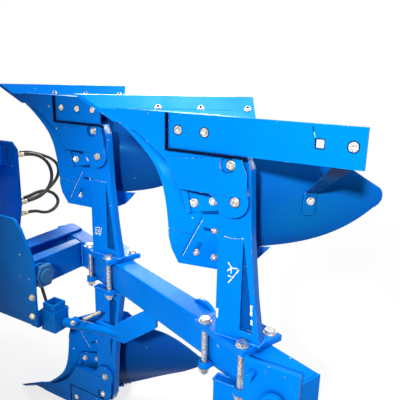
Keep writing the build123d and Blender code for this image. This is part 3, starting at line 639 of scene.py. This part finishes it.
# Unit-sized parts, each a list of shells: (radius, z) points and how many sides.
WASHER = ([(0, -0.02), (1.0, -0.02), (1.0, 0.10), (0.96, 0.13), (0, 0.13)], 28)
HEXAGON = ([(0, 0.10), (0.80, 0.10), (0.86, 0.16), (0.86, 0.56), (0.76, 0.66), (0, 0.66)], 6)
BOLT_END = ([(0, 0.6)] + thread_profile(0.44, 0.62, 0.96, 4) + [(0.36, 1.0), (0, 1.0)], 14)
TEMPLATES = {
    "flat_head": [
        ([(0, -0.05), (1.0, -0.05), (1.0, 0.05), (0.94, 0.11), (0.30, 0.14), (0.22, 0.08), (0, 0.08)],
         28),
    ],
    "sunk_ring": [([(0, -0.02), (1.18, -0.02), (1.18, 0.03), (0, 0.03)], 28)],
    "hex_bolt": [WASHER, HEXAGON, ([(0, 0.6), (0.62, 0.62), (0.58, 0.70), (0, 0.70)], 28)],
    "hex_nut": [WASHER, HEXAGON, BOLT_END],
    "plain_washer": [([(0, 0), (1.0, 0), (1.0, 0.12), (0.97, 0.14), (0, 0.14)], 28)],
    "nut_bore": [([(0, 0.6), (0.50, 0.6), (0.50, 0.74), (0, 0.74)], 20)],
    "wheel_nut": [HEXAGON, ([(0, 0.5), (0.5, 0.66), (0.46, 0.92), (0.30, 1.0), (0, 1.0)], 16)],
    "hose_end": [
        ([(0, -0.05), (1.50, -0.05), (1.50, 0.75), (1.38, 0.85), (0, 0.85)], 6),
        ([(0, 0.8), (1.18, 0.8), (1.18, 1.25), (0, 1.3)], 20),
        ([(0, 1.2), (1.36, 1.2), (1.46, 1.30), (1.46, 2.1), (1.36, 2.2), (0, 2.2)], 6),
        ([(0, 2.1), (1.22, 2.15), (1.30, 2.4), (1.30, 2.9), (1.22, 3.0), (1.22, 3.2), (1.30, 3.3),
          (1.30, 3.8), (1.22, 3.9), (1.22, 4.1), (1.30, 4.2), (1.30, 5.0), (1.20, 5.2), (0, 5.2)], 24),
    ],
}
templates = {name: template(name, shells) for name, shells in TEMPLATES.items()}
spread, weld = spread_tree(), weld_tree()


def set_on(name, kind, spots, body, material, replaced=()):
    """One piece of template parts. spots: (place, outward direction, radius)."""
    mesh = bpy.data.meshes.new(name + "_points")
    mesh.from_pydata([tuple(spot[0]) for spot in spots], [], [])
    mesh.attributes.new("facing", "FLOAT_VECTOR", "POINT")
    mesh.attributes.new("radius", "FLOAT", "POINT")
    for i, (_, direction, size) in enumerate(spots):
        mesh.attributes["facing"].data[i].vector = tuple(Vector(direction).normalized())
        mesh.attributes["radius"].data[i].value = size
    values = {"Template": templates[kind], "Random turn": FULL_TURN, "Material": material}
    return add_piece(name, run_tree(name, mesh, spread, values), body, replaced)


def weld_along(name, lines, body, bead, material=None, unevenness=0.18, pitch=0.7):
    """One piece of beads along lines of places, with a ripple at every pitch times the radius."""
    verts, edges = [], []
    for line in lines:
        first = len(verts)
        verts += [tuple(place) for place in line]
        edges += [(i, i + 1) for i in range(first, len(verts) - 1)]
    mesh = bpy.data.meshes.new(name + "_lines")
    mesh.from_pydata(verts, edges, [])
    values = {"Bead radius": bead, "Ripple pitch": bead * pitch, "Unevenness": unevenness,
              "Material": material or weld_finish}
    return add_piece(name, run_tree(name, mesh, weld, values), body)


# -------- stage
LAMPS = [
    # name, place, target, size, power, cone
    ("key", (-1.95, 4.7, 3.7), (-0.85, 0.0, 1.40), 0.25, 1750, 33),
    ("sky", (-0.5, -0.3, 5.0), (-0.2, 0.0, 0.9), 1.3, 125, None),
    ("fill", (2.4, -3.6, 2.4), (0.0, 0.0, 0.9), 2.2, 150, None),
]
set_world()
set_camera()
make_floor()
for settings in LAMPS:
    lamp(*settings)

# -------- hoses, as laid in the part
HOSE_RUNS = {
    # length, then points of its run in the part's working frame
    "hose_return": (0.594, [
        (1.290, -0.430, 0.522), (1.290, -0.496, 0.522), (1.290, -0.576, 0.500), (1.290, -0.640, 0.446),
        (1.290, -0.664, 0.370), (1.290, -0.636, 0.302), (1.290, -0.573, 0.262), (1.290, -0.505, 0.251),
        (1.290, -0.430, 0.251),
    ]),
    "hose_feed": (0.612, [
        (1.325, -0.430, 0.262), (1.325, -0.500, 0.262), (1.323, -0.566, 0.278), (1.320, -0.634, 0.276),
        (1.308, -0.690, 0.244), (1.296, -0.708, 0.196), (1.290, -0.668, 0.156), (1.290, -0.592, 0.148),
        (1.290, -0.510, 0.186), (1.290, -0.430, 0.186),
    ]),
    "hose_supply": (0.786, [
        (1.330, -0.430, 0.527), (1.330, -0.505, 0.527), (1.332, -0.576, 0.510), (1.333, -0.643, 0.487),
        (1.335, -0.703, 0.459), (1.338, -0.749, 0.422), (1.342, -0.766, 0.371), (1.346, -0.748, 0.323),
        (1.350, -0.701, 0.284), (1.354, -0.640, 0.250), (1.358, -0.579, 0.235), (1.360, -0.500, 0.231),
        (1.360, -0.430, 0.231),
    ]),
}
HOSE_RADIUS, HOSE_FITTING = 0.010, 0.025
HOSE_ROUNDNESS, HOSE_STEPS = 4, 10


def lay_hose(node, length, run):
    """One hose along its run, standing for a CAD node. Gives the spots of its two fittings."""
    places = [Vector(spot) + PART_SHIFT for spot in run]
    curve = bpy.data.curves.new(node + "_line", "CURVE")
    curve.dimensions, curve.use_fill_caps = "3D", True
    curve.bevel_depth, curve.bevel_resolution = HOSE_RADIUS, HOSE_ROUNDNESS
    curve.resolution_u = HOSE_STEPS
    spline = curve.splines.new("NURBS")
    spline.points.add(len(places) - 1)
    for control, place in zip(spline.points, places):
        control.co = (*place, 1)
    spline.order_u, spline.use_endpoint_u = 3, True
    curve.materials.append(rubber)
    hose = add_object(node + "_line", curve)
    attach(hose, "headstock")
    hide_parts(node)
    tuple(places[0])
    return [(end + HOSE_FITTING * LEFTWARD, RIGHTWARD, HOSE_RADIUS) for end in (places[0], places[-1])]


rubber, brass = hose_rubber(), yellow_zinc()
hose_ends = []
for hose_node, (hose_length, hose_run) in HOSE_RUNS.items():
    hose_ends += lay_hose(hose_node, hose_length, hose_run)
set_on("hose_ends", "hose_end", hose_ends, "headstock", brass,
       replaced=["hose_fittings"])

# -------- painted and plated steel
paint, weld_finish, scraped = azure_paint("azure_paint"), weld_paint(), scraped_edge()
# Board paints: darker copies of the azure paint as painted shade, with the corner shade spreading 0.2
# m.
shaded_board_paint = azure_paint("shaded_board_paint", BOARD_SHADE_BLUE, BOARD_SHADE_DEEP, gloss=0.03, reach=0.20)
front_board_shadow_paint = azure_paint("front_board_shadow_paint", FRONT_BOARD_SHADOW_BLUE, FRONT_BOARD_SHADOW_DEEP,
                                gloss=0.03, reach=0.20)
beam_paint = azure_paint("beam_paint", gloss=0.02)
# Frame paint: a darker copy of the azure paint, as painted shade.
shaded_frame_paint = azure_paint("shaded_frame_paint", FRAME_SHADE_BLUE, FRAME_SHADE_DEEP)
zinc, gap_black, chrome = zinc_plate(), dark_gap(), chromed_rod()

SHEET_EDGE, LANDSIDE_EDGE, LEG_EDGE, FROG_EDGE = 0.0012, 0.0014, 0.0016, 0.0020
BRACE_EDGE, GUSSET_EDGE, SMALL_EDGE = 0.0015, 0.002, 0.001
FACES_BACK, FACES_LEFT = -0.85, 0.9     # limits of a normal's x and y
SCRAPED_FROM = 0.670                    # how far above or below the beam the scraped faces start
POCKET_FLOOR_V, POCKET_REACH = 0.0323, 0.003
GUSSET_REACH = 3                        # in the part's millimetres
GUSSET_MOVES = [
    # x, y of the gusset's corners in the part's millimetres: from, to
    ((1060, -559.7), (1050, -125)), ((1060, -689.7), (1045, -640)), ((1200, -735.6), (1147, -680)),
    ((1262, -700.7), (1170, -664)), ((1215, -600.5), (1160, -520)), ((1160, -519.5), (1150, -125)),
]
FRAME_STEEL = [
    # rounding of the edges, paint, CAD nodes
    (0.008, beam_paint, ["main_beam"]),
    # The cross arms, swing plate and width adjuster take the darkened frame paint as painted shade.
    (0.006, shaded_frame_paint, ["cross_arms"]),
    (0.002, shaded_frame_paint, ["swing_plate"]),
    (0.003, shaded_frame_paint, ["width_adjuster"]),
    (0.002, paint, ["turnover_shaft", "adjuster_bracket", "headstock_side_plates",
                    "headstock_cross_plates", "bearing_tube", "top_link_ears", "stand_bracket"]),
    (0.003, paint, ["stand_leg"]),
    (0.002, paint, ["wheel_bracket"]),
    (0.003, paint, ["wheel_arm"]),
    (0.002, paint, ["cylinder_barrel", "wheel_rim"]),
    (0.001, paint, ["stop_screws"]),
]


def scrape_rear_faces(obj):
    """Gives the narrow faces that look backwards, far from the beam, a cut-edge finish."""
    obj.data.materials.append(scraped)
    for face in obj.data.polygons:
        if face.normal.x < FACES_BACK and abs(face.center.z - PART_SHIFT.z) > SCRAPED_FROM:
            face.material_index = 1


def shade_pocket(obj, y):
    """Gives the faces that look left and lie near y the darkened board paint, as painted shade on a
    pocket's floor.
    """
    obj.data.materials.append(shaded_board_paint)
    for face in obj.data.polygons:
        if face.normal.y > FACES_LEFT and abs(face.center.y - y) < POCKET_REACH:
            face.material_index = len(obj.data.materials) - 1


def reshape_gusset(obj):
    """Moves the corners of the gusset's plates to its true outline."""
    for corner in obj.data.vertices:
        for (old_x, old_y), (x, y) in GUSSET_MOVES:
            here = (corner.co - PART_SHIFT) * 1000
            if math.hypot(here.x - old_x, here.y - old_y) < GUSSET_REACH:
                corner.co.x, corner.co.y = part_at(x, y, 0).xy


for level, station, tag, at in plough_bodies():
    eased("landside" + tag, LANDSIDE_EDGE, paint)
    eased("share" + tag, SHEET_EDGE, paint)
    frog = eased("frog" + tag, FROG_EDGE, paint)
    if station == "rear":
        scrape_rear_faces(frog)
    leg = eased("leg" + tag, LEG_EDGE, paint, flat=False)
    scrape_rear_faces(leg)
    shade_pocket(leg, at(0, POCKET_FLOOR_V, 0).y)
    # Moldboards take the darkened board paint as painted shade, the front ones a darker one still as
    # painted shadow.
    board_finish = shaded_board_paint if station == "rear" else front_board_shadow_paint
    eased("moldboard" + tag, SHEET_EDGE, board_finish, flat=False)
    eased("shin" + tag, SHEET_EDGE, paint, flat=False)
eased("trashboards", SHEET_EDGE, paint, flat=False)
eased("trashboard_brackets", SMALL_EDGE, paint, flat=False)
# The tail braces take the darkened board paint as painted shade.
eased("tail_braces", BRACE_EDGE, shaded_board_paint, flat=False)
reshape_gusset(eased("corner_gusset", GUSSET_EDGE, beam_paint))
for edge, finish, nodes in FRAME_STEEL:
    for node in nodes:
        eased(node, edge, finish)
for node in ("station_bolts", "cross_shaft", "cylinder_anchor_pin"):
    eased(node, SMALL_EDGE, zinc)
eased("cylinder_rod", SMALL_EDGE, chrome)

# -------- bolts of the four plough bodies
LANDSIDE_BOLTS = {"rear": (-0.039, -0.141, -0.617), "front": (-0.039, -0.141, -0.237)}      # u
LANDSIDE_BOLT_W, LANDSIDE_HEAD, LANDSIDE_SEAT = 0.057, 0.0150, 0.0152
FROG_BOLTS, FROG_HEAD, SEAT_SHARE = [(-0.261, 0.272), (-0.239, 0.154)], 0.0165, 0.98
BOARD_BOLTS = [(-0.086, 0.309), (-0.145, 0.302)]                # u, w
BACK_NUTS = [(*spot, 0.0155) for spot in BOARD_BOLTS]           # u, w, size
BACK_NUTS += [(-0.148, 0.411, 0.014), (-0.086, 0.499, 0.014), (-0.139, 0.521, 0.014)]
BRACE_NUT = (-0.435, 0.295, 0.014)
FRONT_HEADS = [(0.110, 0.050), (-0.015, 0.050), (-0.158, 0.050), *BOARD_BOLTS,
               (0.050, 0.150), (0.000, 0.280), (-0.040, 0.380)]
FRONT_HEAD = 0.0105
FROM_LEFT_V, FROM_RIGHT_V = -0.3, 0.6       # well clear of the body on either side

landside_heads, seat_shade_rings, frog_bolts, back_nuts, front_heads = [], [], [], [], []
for level, station, tag, at in plough_bodies():
    for u in LANDSIDE_BOLTS[station]:
        place = at(u, 0, LANDSIDE_BOLT_W)
        landside_heads.append((place, LEFTWARD, LANDSIDE_HEAD))
        seat_shade_rings.append((place, LEFTWARD, LANDSIDE_SEAT))
    for u, w in FROG_BOLTS:
        surface = first_hit(["frog" + tag], at(u, FROM_LEFT_V, w), RIGHTWARD)
        frog_bolts.append((*surface, FROG_HEAD))
        seat_shade_rings.append((*surface, FROG_HEAD * SEAT_SHARE))
    solid = ["frog" + tag, "trashboard_brackets", "trashboards", "moldboard" + tag, "tail_braces"]
    for u, w, size in BACK_NUTS + ([BRACE_NUT] if station == "rear" else []):
        back_nuts.append((*first_hit(solid, at(u, FROM_LEFT_V, w), RIGHTWARD), size))
    boards = ["moldboard" + tag, "shin" + tag, "share" + tag]
    for u, w in FRONT_HEADS:
        surface = first_hit(boards, at(u, FROM_RIGHT_V, w), LEFTWARD)
        if surface:
            front_heads.append((*surface, FRONT_HEAD))
set_on("board_bolt_heads", "flat_head", front_heads, "turning_frame", zinc)
set_on("landside_bolt_heads", "flat_head", landside_heads, "turning_frame", zinc)
# Near-black rings, a little wider than the landside and frog bolt heads, as painted shade in the
# clearance round each head.
set_on("landside_bolt_seats", "sunk_ring", seat_shade_rings, "turning_frame", gap_black)
set_on("frog_bolts", "hex_bolt", frog_bolts, "turning_frame", zinc)
set_on("board_nuts", "hex_nut", back_nuts, "turning_frame", zinc)

# -------- painted gap shade, share nuts and welds on the bodies
# Near-black sheets laid over the landside's gaps, as painted shade.
GAP_LIFT, GAP_DEPTH = 0.0004, 0.0114
GAPS = [
    # u, w of opposite corners: in front of the landside, and along its edge nearer the beam
    ((0.0058, 0.001), (0.0002, 0.1264)),
    ((0.0003, 0.1212), (-0.299, 0.1264)),
]
LEG_OUTER_V, LEG_INNER_V = 0.0173, 0.0573
LEG_FRONT_U, LEG_REAR_U, LEG_FOOT_W = -0.193, -0.367, 0.773
LEG_FOOT = [(LEG_FRONT_U, LEG_OUTER_V), (LEG_REAR_U, LEG_OUTER_V), (LEG_REAR_U, LEG_INNER_V),
            (LEG_FRONT_U, LEG_INNER_V), (LEG_FRONT_U, LEG_OUTER_V)]
SHARE_NUTS = [(0.129, 0.123, 0.001), (-0.002, 0.210, 0.002), (-0.146, 0.308, 0.001)]
SHARE_NUT, BELOW_SHARE = 0.0125, 0.1
BODY_BEAD, HEAD_BEAD = 0.0055, 0.005

gap_shade_sheets, leg_welds, share_tops = [], [], []
for level, station, tag, at in plough_bodies():
    for (u0, w0), (u1, w1) in GAPS:
        corners = [at(u, -GAP_LIFT, w) for u, w in ((u0, w0), (u1, w0), (u1, w1), (u0, w1))]
        gap_shade_sheets.append((corners, GAP_DEPTH))
    leg_welds.append([at(u, v, LEG_FOOT_W) for u, v in LEG_FOOT])
    rise = (at(0, 0, 1) - at(0, 0, 0)).normalized()
    for spot in SHARE_NUTS:
        surface = first_hit(["share" + tag], at(*spot) - rise * BELOW_SHARE, rise)
        share_tops.append((*surface, SHARE_NUT))
# Painted shade: near-black sheets over the landside's gaps.
slab_piece("landside_gaps", gap_shade_sheets, "turning_frame", gap_black, 0)
weld_along("leg_foot_welds", leg_welds, "turning_frame", BODY_BEAD)
set_on("share_nuts", "hex_bolt", share_tops, "turning_frame", zinc)
# Near-black discs on the share nuts, as painted shade in their bores.
set_on("share_nut_bores", "nut_bore", share_tops, "turning_frame", gap_black)

# -------- chalk, wear, other marks and painted highlights on the bodies
# Lines of (u, w) on the upper legs, by station.
CHALK = {
    "rear": [
        [(-0.237, 0.492), (-0.249, 0.507), (-0.249, 0.527)],
        [(-0.235, 0.522), (-0.249, 0.509), (-0.270, 0.507)],
        [(-0.277, 0.510), (-0.261, 0.535), (-0.240, 0.565)], [(-0.238, 0.540), (-0.249, 0.541)],
    ],
    "front": [
        [(-0.214, 0.639), (-0.245, 0.631)], [(-0.242, 0.630), (-0.239, 0.654), (-0.214, 0.647)],
        [(-0.216, 0.653), (-0.220, 0.674)], [(-0.255, 0.631), (-0.243, 0.674)],
        [(-0.210, 0.668), (-0.241, 0.664)],
    ],
}
SCUFFS = {
    "rear": [[(-0.218, 0.401), (-0.247, 0.403), (-0.289, 0.396)]],
    "front": [[(-0.223, 0.394), (-0.255, 0.397), (-0.293, 0.394)]],
}
# White patches along the front edge and the rear strip of the rear upper legs.
PATCHES = {
    "rear": [[(-0.200, 0.675), (-0.200, 0.708)], [(-0.330, 0.630), (-0.331, 0.664)],
             [(-0.333, 0.684), (-0.334, 0.697)]],
    "front": [],
}
PATCH_SINK = 0.0035
TAIL_HOLE, RIM = (-0.522, 0.057), 0.0138
# Lines of (u, w) from the tail hole: a dark line round its rim, and a dark and a pale rub beside it.
RIM_LINE = [(-RIM, -RIM), (RIM, -RIM), (RIM, RIM), (-RIM, RIM), (-RIM, -RIM)]
DARK_RUB, PALE_RUB = [(0.024, -0.047), (0.020, -0.034)], [(0.019, -0.032), (0.014, -0.018)]
# Front edge of the trashboard brackets, where a pale line is drawn as a painted highlight.
BRACKET_EDGE, EDGE_STEPS = [(-0.1135, 0.372), (-0.0490, 0.512)], 5


def lines_at(at, v, lines, origin=(0, 0)):
    """Places on a body, at one v, of lines of (u, w) from an origin."""
    return [[at(origin[0] + u, v, origin[1] + w) for u, w in line] for line in lines]


def bracket_edge(at):
    """Line along the front edge of a body's trashboard bracket."""
    (u0, w0), (u1, w1) = BRACKET_EDGE
    hits = []
    for i in range(EDGE_STEPS + 1):
        u, w = u0 + (u1 - u0) * i / EDGE_STEPS, w0 + (w1 - w0) * i / EDGE_STEPS
        hits.append(first_hit(["trashboard_brackets"], at(u, FROM_LEFT_V, w), RIGHTWARD))
    return [hit[0] for hit in hits if hit]


chalk_lines, scuff_lines, patch_lines, rubbed_rims, rub_marks, worn_edges = [], [], [], [], [], []
for level, station, tag, at in plough_bodies():
    worn_edges.append(bracket_edge(at))
    if station == "rear":
        rubbed_rims += lines_at(at, 0, [RIM_LINE, DARK_RUB], TAIL_HOLE)
        rub_marks += lines_at(at, 0, [PALE_RUB], TAIL_HOLE)
    if level == "upper":
        chalk_lines += lines_at(at, LEG_OUTER_V, CHALK[station])
        scuff_lines += lines_at(at, LEG_OUTER_V, SCUFFS[station])
        patch_lines += lines_at(at, LEG_OUTER_V + PATCH_SINK, PATCHES[station])
chalk_and_glint = chalk()
MARKS = [
    # name, lines, radius, finish, unevenness, pitch
    ("chalk_strokes", chalk_lines, 0.0022, chalk_and_glint, 0.5, 0.7),
    ("chalk_scuffs", scuff_lines, 0.0014, chalk_and_glint, 1.0, 3.2),
    ("rubbed_rims", rubbed_rims, 0.0013, gap_black, 0.4, 0.7),
    ("rub_marks", rub_marks, 0.0009, chalk_and_glint, 0.3, 0.7),
    # Painted highlight along the trashboard brackets' front edges.
    ("worn_edges", worn_edges, 0.0008, chalk_and_glint, 0.3, 0.7),
    ("chalk_patches", patch_lines, 0.0060, chalk_and_glint, 0.15, 0.7),
]
for name, lines, radius, finish, unevenness, pitch in MARKS:
    weld_along(name, lines, "turning_frame", radius, finish, unevenness, pitch)

# -------- frame welds, in the part's millimetres
BODY_PITCH, FURROW_WIDTH = 900, 350
BEAM_X, BEAM_Y, BEAM_HALF_WIDTH, BEAM_HALF_HEIGHT = -253, -92.4, 51.5, 72
ARM_SPANS, ARM_LEFT_Y = ((905, 975), (1075, 1160)), -112
ADJUSTER_SPAN, ADJUSTER_Y = (255, 306), (-269, -291)
PLATE_Y = (24, -384)
PLATE_WELDS = [
    # x, low z, high z
    (1297, -150, 150), (1327, -150, 150), (1346, 470, 570), (1474, 470, 570), (1540, 340, 480),
    (1560, 340, 480),
]
EAR_X, EAR_SPAN, EAR_Y = 1561, (352, 468), (-134, -226)
BEARING_X, AXIS_Y, BEARING_RADIUS, RING_STEPS = 1296, -180, 76, 40


def beam_face(x, side):
    """y of the beam's left (1) or right (-1) face or its middle (0)."""
    return BEAM_Y - FURROW_WIDTH / BODY_PITCH * (x - BEAM_X) + side * BEAM_HALF_WIDTH


def line_of(*spots):
    """Places of spots given in the part's millimetres."""
    return [part_at(*spot) for spot in spots]


frame_welds = []
low, high = -BEAM_HALF_HEIGHT, BEAM_HALF_HEIGHT
for x0, x1 in ARM_SPANS:
    y0, y1, left = beam_face(x0, 1), beam_face(x1, 1), ARM_LEFT_Y
    frame_welds += [
        line_of((x0, y0, high), (x1, y1, high)),
        line_of((x0, y0, low), (x0, y0, high)),
        line_of((x0, y0, low), (x1, y1, low)),
        line_of((x0, left, low), (x0, left, high), (x1, left, high), (x1, left, low)),
    ]
frame_welds += [line_of(*((x, y, low) for x in ADJUSTER_SPAN)) for y in ADJUSTER_Y]
weld_along("frame_welds", frame_welds, "turning_frame", BODY_BEAD)
head_welds = [line_of((x, y, z0), (x, y, z1)) for x, z0, z1 in PLATE_WELDS for y in PLATE_Y]
head_welds += [line_of(*((EAR_X, y, z) for z in EAR_SPAN)) for y in EAR_Y]
weld_along("headstock_welds", head_welds, "headstock", HEAD_BEAD)
ring = []
for i in range(RING_STEPS + 1):
    a = 2 * math.pi * i / RING_STEPS
    ring.append((BEARING_X, AXIS_Y + BEARING_RADIUS * math.cos(a), BEARING_RADIUS * math.sin(a)))
weld_along("bearing_weld", [line_of(*ring)], "headstock", HEAD_BEAD)

# -------- washers along the beam
CLAMP_X = -243                          # in the part's millimetres
BOLT_ALONG, BOLT_ACROSS, PLATE_TOP, WASHER_RADIUS = 0.101, 0.0685, 0.096, 0.0245
beam_turn = Matrix.Rotation(math.atan2(-FURROW_WIDTH, BODY_PITCH), 3, "Z")
station_washers = []
for i in range(len(STATIONS)):
    middle = part_at(CLAMP_X + i * BODY_PITCH, beam_face(CLAMP_X, 0) - i * FURROW_WIDTH, 0)
    for along in (-BOLT_ALONG, BOLT_ALONG):
        for across in (-BOLT_ACROSS, BOLT_ACROSS):
            place = middle + beam_turn @ Vector((along, across, 0))
            for way in (UPWARD, -UPWARD):
                station_washers.append((place + way * PLATE_TOP, way, WASHER_RADIUS))
set_on("station_washers", "plain_washer", station_washers, "turning_frame", zinc)

# -------- depth wheel
TYRE_EDGE, SHOULDER, TREAD_DEPTH = 0.010, 0.24, 0.008
WHEEL_BOLTS, BOLT_CIRCLE, RIM_HALF, WHEEL_NUT = 5, 0.075, 0.006, 0.014
BLOCK_PAIRS, BLOCK_DEPTH, BLOCK_EDGE, STAGGER = 26, 0.014, 0.0012, 0.25
BLOCK_INNER, BLOCK_OUTER = (0.004, 0.0004), (0.064, 0.009)  # from the middle, below the crown
BLOCK = [(0, BLOCK_INNER), (1, BLOCK_INNER), (1.5, BLOCK_OUTER), (0.5, BLOCK_OUTER)]
wheel_low, wheel_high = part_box("wheel_tyre")
wheel_middle = (wheel_low + wheel_high) / 2
wheel_radius = (wheel_high.z - wheel_low.z) / 2


def on_wheel(turn, across, radius):
    """Place on the wheel: turned about the axle, across from its middle, at a radius."""
    return wheel_middle + Vector((radius * math.cos(turn), across, radius * math.sin(turn)))


def on_tread(turn, side, end):
    """Corner of a tread block on one side of the tyre."""
    across, sunk = end
    return on_wheel(turn, side * across, wheel_radius - sunk)


black_rubber = tyre_rubber()
tyre = eased("wheel_tyre", TYRE_EDGE, black_rubber)
for corner in tyre.data.vertices:
    arm = corner.co - wheel_middle
    arm.y = 0
    if arm.length > SHOULDER:
        corner.co -= arm.normalized() * TREAD_DEPTH
wheel_nuts, blocks = [], []
for i in range(WHEEL_BOLTS):
    for side in (-1, 1):
        place = on_wheel(2 * math.pi * i / WHEEL_BOLTS, side * RIM_HALF, BOLT_CIRCLE)
        wheel_nuts.append((place, side * LEFTWARD, WHEEL_NUT))
set_on("wheel_bolts", "wheel_nut", wheel_nuts, "depth_wheel", zinc)
step = math.pi / BLOCK_PAIRS
for i in range(BLOCK_PAIRS):
    for side in (-1, 1):
        a = 2 * step * (i + STAGGER * side)
        corners = [on_tread(a + steps * step, side, end) for steps, end in BLOCK]
        blocks.append((corners if side < 0 else corners[::-1], BLOCK_DEPTH))
slab_piece("tyre_tread", blocks, "depth_wheel", black_rubber, BLOCK_EDGE)

# -------- hub, swing plate bolts and adjuster fittings
HUB_BLUE, HUB_DEEP = (0.05, 0.20, 0.42), (0.10, 0.26, 0.46)
SHAFT_NUT = ([(0, -0.001), (0.060, -0.001), (0.064, 0.003), (0.064, 0.018), (0.058, 0.024),
              (0, 0.024)], 6)
SHAFT_END = ([(0, 0.02), (0.040, 0.024), (0.040, 0.030), (0.034, 0.034), (0, 0.034)], 32)
SWING_BOLTS = [
    # place in the part's millimetres, direction, size
    ((858, -95, -84), LEFTWARD, 0.0165), ((866, -95, -187), LEFTWARD, 0.0165),
    ((770, -224, -172), RIGHTWARD, 0.0150),
]
SCREW_RADIUS, SCREW_TURNS, SCREW_SIDES = 0.009, 22, 20
EYE_RADIUS, EYE_WIDTH, EYE_SIDES, EYE_BOLT = 0.022, 0.024, 28, 0.0135
STAY_RADIUS, STAY_SIDES = 0.008, 16
# Places in the part's millimetres.
hub, eye_back, eye_front = line_of((872, AXIS_Y, 0), (672, -196, -199), (672, -172, -199))
screw_foot, screw_end = line_of((637, -205, -189), (622, -304, -190))
stay_top, stay_foot = line_of((886, AXIS_Y, -72), (858, AXIS_Y, -150))
screw, stay = screw_end - screw_foot, stay_foot - stay_top
screw_threads = thread_profile(SCREW_RADIUS, 0, screw.length, SCREW_TURNS)
screw_profile = [(0, 0), *screw_threads, (0, screw.length)]

hub_paint = azure_paint("hub_paint", HUB_BLUE, HUB_DEEP)
turned_piece("shaft_nut", [(hub, BACKWARD, *SHAFT_NUT), (hub, BACKWARD, *SHAFT_END)],
             "turning_frame", hub_paint)
swing_bolts = [(part_at(*spot), way, size) for spot, way, size in SWING_BOLTS]
set_on("swing_plate_bolts", "hex_bolt", swing_bolts, "turning_frame", brass)
turned_piece("adjuster_screw", [(screw_foot, screw, screw_profile, SCREW_SIDES)],
             "turning_frame", brass)
turned_piece("adjuster_eye", [(eye_back, LEFTWARD, rod_profile(EYE_RADIUS, EYE_WIDTH), EYE_SIDES)],
             "turning_frame", paint)
set_on("adjuster_eye_bolt", "hex_bolt", [(eye_front, LEFTWARD, EYE_BOLT)], "turning_frame", zinc)
turned_piece("rubber_stay", [(stay_top, stay, rod_profile(STAY_RADIUS, stay.length), STAY_SIDES)],
             "turning_frame", rubber)

# -------- rounded lug on the beam's right face
LUG_X, LUG_FOOT_Z, LUG_Z, LUG_RADIUS = -35, -60, 8, 85      # in the part's millimetres
LUG_THICKNESS, LUG_EDGE, LUG_STEPS = 0.016, 0.002, 24
lug = [(LUG_X - LUG_RADIUS, LUG_FOOT_Z), (LUG_X + LUG_RADIUS, LUG_FOOT_Z)]
for i in range(LUG_STEPS + 1):
    a = math.pi * i / LUG_STEPS
    lug.append((LUG_X + LUG_RADIUS * math.cos(a), LUG_Z + LUG_RADIUS * math.sin(a)))
outline = [part_at(x, beam_face(x, -1), z) for x, z in lug]
slab_piece("beam_lug", [(outline, LUG_THICKNESS)], "turning_frame", paint, LUG_EDGE)

scene.view_settings.view_transform = "Standard"
